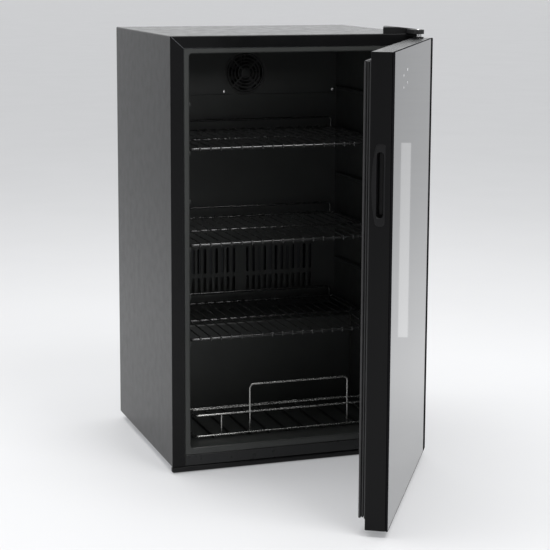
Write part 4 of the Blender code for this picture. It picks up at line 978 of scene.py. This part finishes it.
def build_rack():
    left, right = RACK_LOW.x + RACK_RADIUS, RACK_HIGH.x - RACK_RADIUS
    back = RACK_HIGH.y - RACK_RADIUS
    floor = OPEN_LOW + GAP + RACK_RADIUS
    low = floor + 2 * RACK_RADIUS - 0.0006
    high = low + RACK_RAIL - 0.0004
    front, pocket = RACK_FRONT, RACK_FRONT + RACK_POCKET
    bm = bmesh.new()
    base = [(left, front, low), (right, front, low), (right, back, low), (left, back, low)]
    put(bm, tube(filleted(base, 0.008, 6, True), RACK_RADIUS, 12, True))
    rail = [(left, front, high), (right, front, high), (right, pocket, high), (left, pocket, high)]
    put(bm, tube(filleted(rail, 0.008, 6, True), RACK_RADIUS, 12, True))
    posts = ((left + RACK_POST, front), (right - 0.012, front), (right - 0.012, pocket))
    for x, y in posts:
        put(bm, tube([(x, y, low), (x, y, high)], RACK_RADIUS * 0.9, 12))
    start = OPEN_LEFT + RACK_LOOP_LEFT
    end = start + RACK_LOOP_WIDTH
    y = front + RACK_RADIUS * 0.6
    crest = low + RACK_LOOP_HEIGHT
    hoop = [(start, y, low), (start, y, crest), (end, y, crest), (end, y, low)]
    put(bm, tube(filleted(hoop, 0.008, 7), RACK_RADIUS, 14))
    for number in range(RACK_FLOOR_WIRES):
        x = left + (number + 1) * (right - left) / (RACK_FLOOR_WIRES + 1)
        # Floor wires take the darker copy of the wire finish, painted shade
        put(bm, tube([(x, front, floor), (x, back, floor)], RACK_RADIUS, 10), finish=1)
    piece("rack_wires", bm, (RACK_WIRE, RACK_PAINTED_SHADE), ("bottle_rack",), flat=False)


# ----------------------------------------------------------------------------- door

FRAME_ROUND = 0.0012
GLASS_ROUND = 0.0006
HINGE_BORDER = 0.030
LOW_BORDER = 0.0022


def build_pane():
    """The mirrored outer pane, with polished edges and a dark border at the hinge side and the foot."""
    low, high = GLASS_LOW, GLASS_HIGH
    bm = bmesh.new()
    steps = ((GLASS_ROUND, low.y), (GLASS_ROUND * 0.3, low.y + GLASS_ROUND * 0.3), (0, low.y + GLASS_ROUND))
    steps += ((0, high.y - GLASS_ROUND), (GLASS_ROUND, high.y))
    loops = []
    for inset, y in steps:
        outline = round_rect(low.x + inset, low.z + inset, high.x - inset, high.z - inset, 0.0012, 3)
        loops.append(at_y(outline, y))
    put(bm, loft(loops), finish=1)
    front = [face for face in bm.faces if all(v.co.y < low.y + 1e-6 for v in face.verts)]
    cuts = ((high.x - HINGE_BORDER, X), (low.z + LOW_BORDER, Z))
    for position, axis in cuts:
        normal = Vector((0, 0, 0))
        normal[axis] = 1
        geometry = front + list({e for f in front for e in f.edges})
        geometry += list({v for f in front for v in f.verts})
        bmesh.ops.bisect_plane(bm, geom=geometry, plane_co=normal * position, plane_no=normal, dist=1e-7)
        front = [face for face in bm.faces if all(v.co.y < low.y + 1e-6 for v in face.verts)]
    for face in front:
        middle = face.calc_center_median()
        inside = middle.x < high.x - HINGE_BORDER and middle.z > low.z + LOW_BORDER
        face.material_index = 0 if inside else 1
    piece("mirror_pane", bm, (MIRROR, GLASS_EDGE), ("door_glass",), "door")


def bowed_outline(front, back, low, high, corner, bow, count=72):
    """A tall outline whose front side is straight and whose back side bows out, resampled evenly."""
    steps = 24
    points = [(front, low + corner), (front, high - corner)]
    points += [
        (front + corner * (1 - math.cos(a)), high - corner + corner * math.sin(a))
        for a in (math.radians(90 * k / 6) for k in range(1, 7))
    ]
    reach = back - bow
    points += [
        (reach - corner + corner * math.sin(a), high - corner + corner * math.cos(a))
        for a in (math.radians(90 * k / 6) for k in range(7))
    ]
    for k in range(1, steps):
        share = k / steps
        z = high - corner - (high - low - 2 * corner) * share
        points.append((reach + bow * math.sin(math.pi * share) ** 0.8, z))
    points += [
        (reach - corner + corner * math.cos(a), low + corner - corner * math.sin(a))
        for a in (math.radians(90 * k / 6) for k in range(7))
    ]
    points += [
        (front + corner * (1 - math.sin(a)), low + corner - corner * math.cos(a))
        for a in (math.radians(90 * k / 6) for k in range(6))
    ]
    return evenly(points, count)


def evenly(points, count):
    """A closed outline resampled to points at equal distances, starting from its first point."""
    points = [Vector(point) for point in points]
    ring = points + [points[0]]
    lengths = [0.0]
    for one, two in zip(ring, ring[1:]):
        lengths.append(lengths[-1] + (two - one).length)
    made, span = [], 0
    for k in range(count):
        goal = lengths[-1] * k / count
        while lengths[span + 1] < goal:
            span += 1
        step = lengths[span + 1] - lengths[span]
        share = (goal - lengths[span]) / step if step else 0
        made.append(tuple(ring[span].lerp(ring[span + 1], share)))
    return made


GRIP_WIDTH, GRIP_HEIGHT, GRIP_DEPTH, GRIP_FROM_BACK = 0.011, 0.107, 0.015, 0.0083


def build_handle():
    """A bowed escutcheon in the door's free edge, with a deep rounded finger slot."""
    low, high = corners("handle_cup", "door")
    middle = (low.z + high.z) / 2
    slot_back = high.y - GRIP_FROM_BACK
    slot_front = slot_back - GRIP_WIDTH
    loops = []

    def slot_loop(inset, x):
        foot, head = middle - GRIP_HEIGHT / 2 + inset, middle + GRIP_HEIGHT / 2 - inset
        outline = round_rect(slot_front + inset, foot, slot_back - inset, head, 0.0048, 6)
        start = [k for k, p in enumerate(outline) if p[0] < slot_front + inset + 1e-5][-1]
        ordered = outline[start:] + outline[:start]
        return at_x(evenly([ordered[0]] + ordered[:0:-1], 72), x)

    wall = 0.0014
    loops.append(slot_loop(0.0028 - wall, GRIP_DEPTH + wall))
    loops.append(slot_loop(-wall, 0.004))
    loops.append(slot_loop(-wall, 0.0016))
    edge = 0.0009
    for inset, x in ((0.0002, 0.0014), (0, 0), (0.0002, low.x * 0.6), (edge, low.x), (edge * 2.2, low.x)):
        outline = bowed_outline(
            low.y + inset, high.y - inset, low.z + inset, high.z - inset, 0.005, 0.0062
        )
        loops.append(at_x(outline, x))
    for inset, x in (
        (-0.0014, low.x), (-0.0007, low.x + 0.0002), (-0.0002, low.x + 0.0008), (0, low.x + 0.002),
        (0.0004, 0.008), (0.0012, GRIP_DEPTH - 0.002), (0.0028, GRIP_DEPTH),
    ):
        loops.append(slot_loop(inset, x))
    cup = loft(loops)
    piece("handle_moulding", cup, PLASTIC, ("handle_cup",), "door")
    return slot_front, slot_back, middle


def build_frame():
    """Rounded stiles and rails: one stile is hollowed for the cup, the other bored for the pins."""
    cup_low, cup_high = corners("handle_cup", "door")
    low, high = STILE_LOW, STILE_HIGH
    inset = 0.0012
    outline = bowed_outline(
        cup_low.y + inset, cup_high.y - inset, cup_low.z + inset, cup_high.z - inset, 0.005, 0.0062
    )
    pocket = loft([at_x(outline, -0.01), at_x(outline, 0.020)])
    data = baked(block(low, high, FRAME_ROUND, 3), cutters=(pocket,))
    piece("handle_stile_bar", data, FRAME, ("handle_stile",), "door")
    low, high = corners("hinge_stile", "door")
    pin = CABINET_PLACE.inverted() @ PIN
    holes = bmesh.new()
    for z in (low.z, high.z):
        hole = turned(((0.0073, -0.018), (0.0073, 0.018)), 40)
        put(holes, hole, moved(pin.x, pin.y, z))
    data = baked(block(low, high, FRAME_ROUND, 3), cutters=(holes,))
    piece("hinge_stile_bar", data, FRAME, ("hinge_stile",), "door")
    for node in ("top_rail", "bottom_rail"):
        low, high = corners(node, "door")
        bar = block(low, high, FRAME_ROUND, 3)
        if node == "top_rail":
            board_low, board_high = corners("control_board", "door")
            room = block(board_low - Vector((GAP,) * 3), board_high + Vector((GAP,) * 3))
            bar = baked(bar, cutters=(room,))
        piece(f"{node}_bar", bar, FRAME, (node,), "door")


def build_gasket():
    """A magnetic seal: three ribs on its outer side, a bellows groove inside and mitred corners."""
    low, high = corners("gasket", "door")
    depth = high.y - low.y
    wide = 0.016
    ribs = ((0.0, 0.30), (0.36, 0.62), (0.68, 1.0))
    profile = [(wide * 0.04, 0.0)]
    for number, (start, end) in enumerate(ribs):
        proud = (0.0, 0.0016, 0.0006)[number]
        for step in range(7):
            share = step / 6
            profile.append(
                (proud + 0.0011 * (1 - math.sin(math.pi * share)) ** 1.5, start + (end - start) * share)
            )
        if number < 2:
            middle = (end + ribs[number + 1][0]) / 2
            profile.append((0.0046, middle - 0.012))
            profile.append((0.0046, middle + 0.012))
    profile += [(wide * 0.2, 1.0), (wide * 0.5, 0.985), (wide * 0.8, 1.0), (wide * 0.94, 0.97)]
    profile += [(wide, 0.88), (wide * 0.97, 0.70), (wide * 0.80, 0.62), (wide * 0.80, 0.50)]
    profile.append((wide * 0.98, 0.34))
    profile += [(wide, 0.2), (wide * 0.98, 0.03), (wide * 0.9, 0.0)]
    loops = []
    for inset, share in profile:
        y = low.y + depth * share
        left, right = low.x + inset, high.x - inset
        foot, head = low.z + inset, high.z - inset
        loops.append([(left, y, foot), (right, y, foot), (right, y, head), (left, y, head)])
    seal = loft(loops, ring=True)
    piece("gasket_seal", seal, RUBBER, ("gasket",), "door", flat=False)


def build_touch_marks():
    """Four plain dots behind the glass where the touch controls are."""
    board_low, board_high = corners("control_board", "door")
    front = GLASS_LOW.y
    bm = bmesh.new()
    centre_x = board_low.x + 0.035
    spots = ((-0.022, 0.006), (0.022, 0.013), (0.022, -0.009), (-0.022, -0.014))
    middle = (board_low.z + board_high.z) / 2
    for x, z in spots:
        profile = [(0, 0), (0.0022, 0), (0.0024, -0.0001), (0.0022, -0.00025), (0, -0.00025)]
        put(bm, turned(profile, 24), moved(centre_x + x, front, middle + z) @ TO_Y)
    piece("touch_marks", bm, MARK, body="door", flat=False)


# ----------------------------------------------------------------------------- hinges


def plate_outline(left, right, tip, back, steps=20):
    """A plate with a round nose, as (x, y) points."""
    radius = (right - left) / 2
    centre = (left + right) / 2
    points = [(right, back), (right, tip)]
    for step in range(1, steps):
        angle = math.pi * step / steps
        points.append((centre + radius * math.cos(angle), tip - radius * math.sin(angle)))
    points += [(left, tip), (left, back)]
    return points


PLATE = 0.003
PLATE_ROUND = 0.0006
LOWER_PLATE_BACK = 0.010
PIN_HOLE_RADIUS = 0.0043
PIN_RIM = 0.0005


def build_hinges():
    """The top bracket with its thick nose, its pin and cap, and the cranked bracket under the door."""
    pin = CABINET_PLACE.inverted() @ PIN
    low, high = corners("top_hinge_bracket")
    cap_front = corners("top_hinge_cover")[0].y
    outline = plate_outline(low.x + 0.0002, high.x - 0.0002, pin.y, high.y)
    plate = loft([[(x, y, z) for x, y in outline] for z in (low.z, low.z + PLATE)])
    nose = plate_outline(low.x, high.x, pin.y, cap_front - GAP)
    boss = loft([[(x, y, z) for x, y in nose] for z in (low.z, high.z)])
    hole = turned(((PIN_HOLE_RADIUS, low.z - 0.01), (PIN_HOLE_RADIUS, high.z + 0.01)), 32)
    bmesh.ops.translate(hole, vec=(pin.x, pin.y, 0), verts=hole.verts)
    bm = bmesh.new()
    for part in (plate, boss):
        cutter = hole.copy()
        data = baked(part, cutters=(cutter,), bevel=PLATE_ROUND)
        bm.from_mesh(data)
        bpy.data.meshes.remove(data)
    hole.free()
    piece("top_hinge_plate", bm, REAR_PAINT, ("top_hinge_bracket",))
    low, high = corners("top_hinge_pin")
    radius = (high.x - low.x) / 2
    profile = [(0, low.z), (radius - PIN_RIM, low.z), (radius, low.z + PIN_RIM)]
    profile += [(radius, high.z - PIN_RIM), (radius - PIN_RIM, high.z), (0, high.z)]
    pin_body = turned(profile, 40)
    bmesh.ops.translate(pin_body, vec=(pin.x, pin.y, 0), verts=pin_body.verts)
    piece("top_pivot_pin", pin_body, STEEL, ("top_hinge_pin",), flat=False)
    build_hinge_cap()
    low, high = corners("bottom_hinge_bracket")
    outline = plate_outline(low.x, high.x, pin.y, LOWER_PLATE_BACK)
    bm = bmesh.new()
    put(bm, loft([[(x, y, z) for x, y in outline] for z in (low.z, low.z + PLATE)]))
    put(bm, block((low.x, PLATE, low.z), (high.x, 2 * PLATE, high.z), PLATE_ROUND, 2))
    put(bm, block((low.x, PLATE, high.z - PLATE), (high.x, high.y, high.z), PLATE_ROUND, 2))
    piece("bottom_hinge_plate", bm, REAR_PAINT, ("bottom_hinge_bracket",))


CAP_LEVEL, CAP_FALL, CAP_SLANT = 0.4, 0.005, 0.024
CAP_WALL, CAP_ROOM = 0.002, 0.0049


def build_hinge_cap():
    """The cap over the top hinge: level, then sloping down to the right, its left side cut back."""
    low, high = corners("top_hinge_cover")
    plate_low, plate_high = corners("top_hinge_bracket")
    bend = low.x + (high.x - low.x) * CAP_LEVEL
    rim = 0.0016
    columns = 24
    loops = []
    for level in range(5):
        turn = math.radians(90 * level / 4)
        drop, pinch = rim * (1 - math.sin(turn)), rim * (1 - math.cos(turn))
        loop = []
        sides = ((low.x + pinch, low.y + pinch, 1), (high.x - pinch, low.y + pinch, 0))
        sides += ((high.x - pinch, high.y - pinch, 0), (low.x + CAP_SLANT + pinch, high.y - pinch, 1))
        for (x0, y0, _), (x1, y1, _) in zip(sides, sides[1:] + sides[:1]):
            for k in range(columns):
                x, y = x0 + (x1 - x0) * k / columns, y0 + (y1 - y0) * k / columns
                top = high.z - CAP_FALL * max(0, x - bend) / (high.x - bend)
                loop.append((x, y, top - drop))
        loops.append(loop)
    foot = [(x, y, low.z) for x, y, _ in loops[0]]
    lid = bmesh.new()
    put(lid, loft([foot] + loops, capped=False))
    lid.faces.new([lid.verts.new((x, y, low.z)) for x, y, _ in foot])
    top_loop = [lid.verts.new(point) for point in loops[-1]]
    for k in range(columns):
        front, back = k, 3 * columns - k
        right_side = top_loop[columns + 1 : 2 * columns] if k == columns - 1 else []
        left_side = top_loop[3 * columns + 1 :] if k == 0 else []
        strip = [top_loop[front], top_loop[front + 1], *right_side, top_loop[back - 1], top_loop[back]]
        lid.faces.new(strip + left_side)
    bmesh.ops.remove_doubles(lid, verts=lid.verts, dist=1e-6)
    finished(lid)
    mouth = block(
        (plate_low.x - GAP, low.y - 0.01, low.z - 0.01),
        (plate_high.x + GAP, low.y + 0.0545, low.z + PLATE + GAP),
    )
    room = block(
        (plate_low.x - GAP, low.y + CAP_WALL, low.z - 0.01),
        (plate_high.x + GAP, high.y - CAP_WALL, low.z + CAP_ROOM),
    )
    data = baked(lid, cutters=(mouth, room))
    piece("hinge_cap", data, PLASTIC, ("top_hinge_cover",))


# ----------------------------------------------------------------------------- kick strip, feet, rollers


def build_kick_strip():
    """A moulded strip whose ends are rounded."""
    low, high = corners("kick_strip")
    body = block(low, high, 0.0045, 6)
    for vertex in body.verts:
        vertex.co.z = max(low.z, min(high.z, vertex.co.z))
    piece("kick_moulding", body, PLASTIC, ("kick_strip",))


def build_feet():
    for side in ("left", "right"):
        node = f"{side}_foot"
        low, high = corners(node)
        centre = (low + high) / 2
        radius = (high.x - low.x) / 2
        bm = bmesh.new()
        profile = [(0, 0), (radius * 0.86, 0), (radius * 0.95, 0.0006), (radius, 0.0016), (radius, 0.0036)]
        profile += [(radius * 0.93, 0.0052), (radius * 0.8, 0.006), (0.0062, 0.006), (0.0056, 0.0078)]
        profile += [(0.0039, 0.0080), (0.0039, high.z), (0, high.z)]
        put(bm, turned(profile, 40), moved(centre.x, centre.y, low.z))
        for number in range(12):
            angle = math.tau * number / 12
            rib = block((-0.0009, -0.0012, 0.0014), (0.0009, 0.0004, 0.0046), 0.0004, 2)
            turn = Matrix.Rotation(angle, 4, "Z") @ moved(0, radius * 0.985, 0)
            put(bm, rib, moved(centre.x, centre.y, low.z) @ turn)
        piece(f"{node}_pad", bm, PLASTIC, (node,), node, flat=False)


def build_rollers():
    for side in ("left", "right"):
        node = f"{side}_roller"
        low, high = corners(node)
        centre = (low + high) / 2
        radius, half = (high.z - low.z) / 2, (high.x - low.x) / 2
        edge = 0.0013
        profile = [(0.0023, -half), (0.0052, -half), (0.0058, -half + 0.0012)]
        profile.append((radius * 0.78, -half + 0.0012))
        profile += [(radius * 0.84, -half), (radius - edge, -half), (radius - edge * 0.3, -half + edge * 0.3)]
        profile += [(radius, -half + edge), (radius, half - edge), (radius - edge * 0.3, half - edge * 0.3)]
        profile += [(radius - edge, half), (radius * 0.84, half), (radius * 0.78, half - 0.0012)]
        profile += [(0.0058, half - 0.0012), (0.0052, half), (0.0023, half)]
        wheel = turned(profile, 56, ring=True)
        bmesh.ops.transform(wheel, matrix=Matrix.Translation(centre) @ TO_X, verts=wheel.verts)
        piece(f"{node}_wheel", wheel, ROLLER_NYLON, (node,), node, flat=False)
        bracket = f"{side}_roller_bracket"
        low, high = corners(bracket)
        wall = 0.002
        bm = bmesh.new()
        for x in (low.x, high.x - wall):
            put(bm, block((x, low.y, low.z), (x + wall, high.y, high.z), 0.0005, 2))
        for start, end in ((low.y, centre.y - 0.0152), (centre.y + 0.0152, high.y)):
            put(bm, block((low.x + 0.0004, start, high.z - wall), (high.x - 0.0004, end, high.z), 0.0004, 2))
        piece(f"{bracket}_sheet", bm, REAR_PAINT, (bracket,))


build_shell()
build_sill()
build_liner()
build_inner_wall()
build_grille()
build_fan()
build_screws()
build_rear()
build_machine_cover()
build_compressor()
for shelf in ("top_shelf", "middle_shelf", "bottom_shelf"):
    build_shelf(shelf)
build_rack()
build_pane()
build_frame()
build_handle()
build_gasket()
build_touch_marks()
build_hinges()
build_kick_strip()
build_feet()
build_rollers()

# ----------------------------------------------------------------------------- floor, light, camera

FLOOR_SIZE = 120
FRONT_STUDIO, BACK_STUDIO = 0.28, 0.92


def build_floor():
    bm = bmesh.new()
    bmesh.ops.create_grid(bm, x_segments=8, y_segments=8, size=FLOOR_SIZE / 2)
    data = bpy.data.meshes.new("studio_floor")
    bm.to_mesh(data)
    bm.free()
    data.materials.append(FLOOR_LOOK)
    floor = bpy.data.objects.new("studio_floor", data)
    bpy.context.scene.collection.objects.link(floor)


def build_world():
    """A pale studio behind the cooler, dimmer in front of it."""
    world = bpy.data.worlds.new("studio")
    world.use_nodes = True
    tree = world.node_tree
    background = tree.nodes["Background"]
    coordinates = tree.nodes.new("ShaderNodeTexCoord")
    axes = tree.nodes.new("ShaderNodeSeparateXYZ")
    tree.links.new(coordinates.outputs["Generated"], axes.inputs["Vector"])
    blend = tree.nodes.new("ShaderNodeMapRange")
    blend.interpolation_type = "SMOOTHSTEP"
    blend.inputs["From Min"].default_value = -0.5
    blend.inputs["From Max"].default_value = 0.3
    blend.inputs["To Min"].default_value = FRONT_STUDIO
    blend.inputs["To Max"].default_value = BACK_STUDIO
    tree.links.new(axes.outputs["Y"], blend.inputs["Value"])
    tree.links.new(blend.outputs["Result"], background.inputs["Strength"])
    background.inputs["Color"].default_value = (0.98, 0.99, 1.0, 1)
    bpy.context.scene.world = world


def softbox(name, place, aim, width, height, power):
    light = bpy.data.lights.new(name, "AREA")
    light.shape = "RECTANGLE"
    light.size = width
    light.size_y = height
    light.energy = power
    lamp = bpy.data.objects.new(name, light)
    lamp.location = place
    lamp.rotation_euler = (Vector(aim) - Vector(place)).to_track_quat("-Z", "Y").to_euler()
    lamp.visible_camera = False
    bpy.context.scene.collection.objects.link(lamp)


# Each light: its name, its place, what it is aimed at, its width and height, and its power
SOFTBOXES = (
    ("key_softbox", (0.7, -1.6, 2.9), (0, 0, 0.4), 1.3, 1.3, 56),
    ("fill_softbox", (-0.4, 0.4, 3.0), (0, -0.2, 0), 2.4, 2.4, 68),
    ("front_strip", (0.2, -3.2, 1.45), (0, 0.1, 0.45), 1.6, 0.35, 11),
    ("window_panel", (0.699, 0.468, 0.31), (0.068, -0.31, 0.48), 0.023, 0.45, 0.009),
)


def build_lights():
    for light in SOFTBOXES:
        softbox(*light)


CAMERA_FROM_CORNER = Vector((-0.7799, -2.8484, 0.9382))
CAMERA_YAW = math.radians(18.98)
CAMERA_PITCH = math.radians(-9.30)
CAMERA_ROLL = math.radians(0.26)
CAMERA_LENS = 107.35
CAMERA_RISE = -0.0876


def build_camera():
    """Seen from the front left, a little above the top, with the lens shifted as the verticals show."""
    view = bpy.data.cameras.new("camera")
    view.lens = CAMERA_LENS
    view.sensor_width = 36
    view.shift_y = CAMERA_RISE
    view.clip_end = 60
    camera = bpy.data.objects.new("camera", view)
    camera.location = CABINET_PLACE @ Vector((0, 0, BASE)) + CAMERA_FROM_CORNER
    look = Matrix.Rotation(-CAMERA_YAW, 4, "Z") @ Matrix.Rotation(math.radians(90) + CAMERA_PITCH, 4, "X")
    camera.rotation_euler = (look @ Matrix.Rotation(CAMERA_ROLL, 4, "Z")).to_euler()
    bpy.context.scene.collection.objects.link(camera)
    bpy.context.scene.camera = camera


build_floor()
build_world()
build_lights()
build_camera()
bpy.context.scene.view_settings.view_transform = "Standard"

bpy.context.view_layer.update()
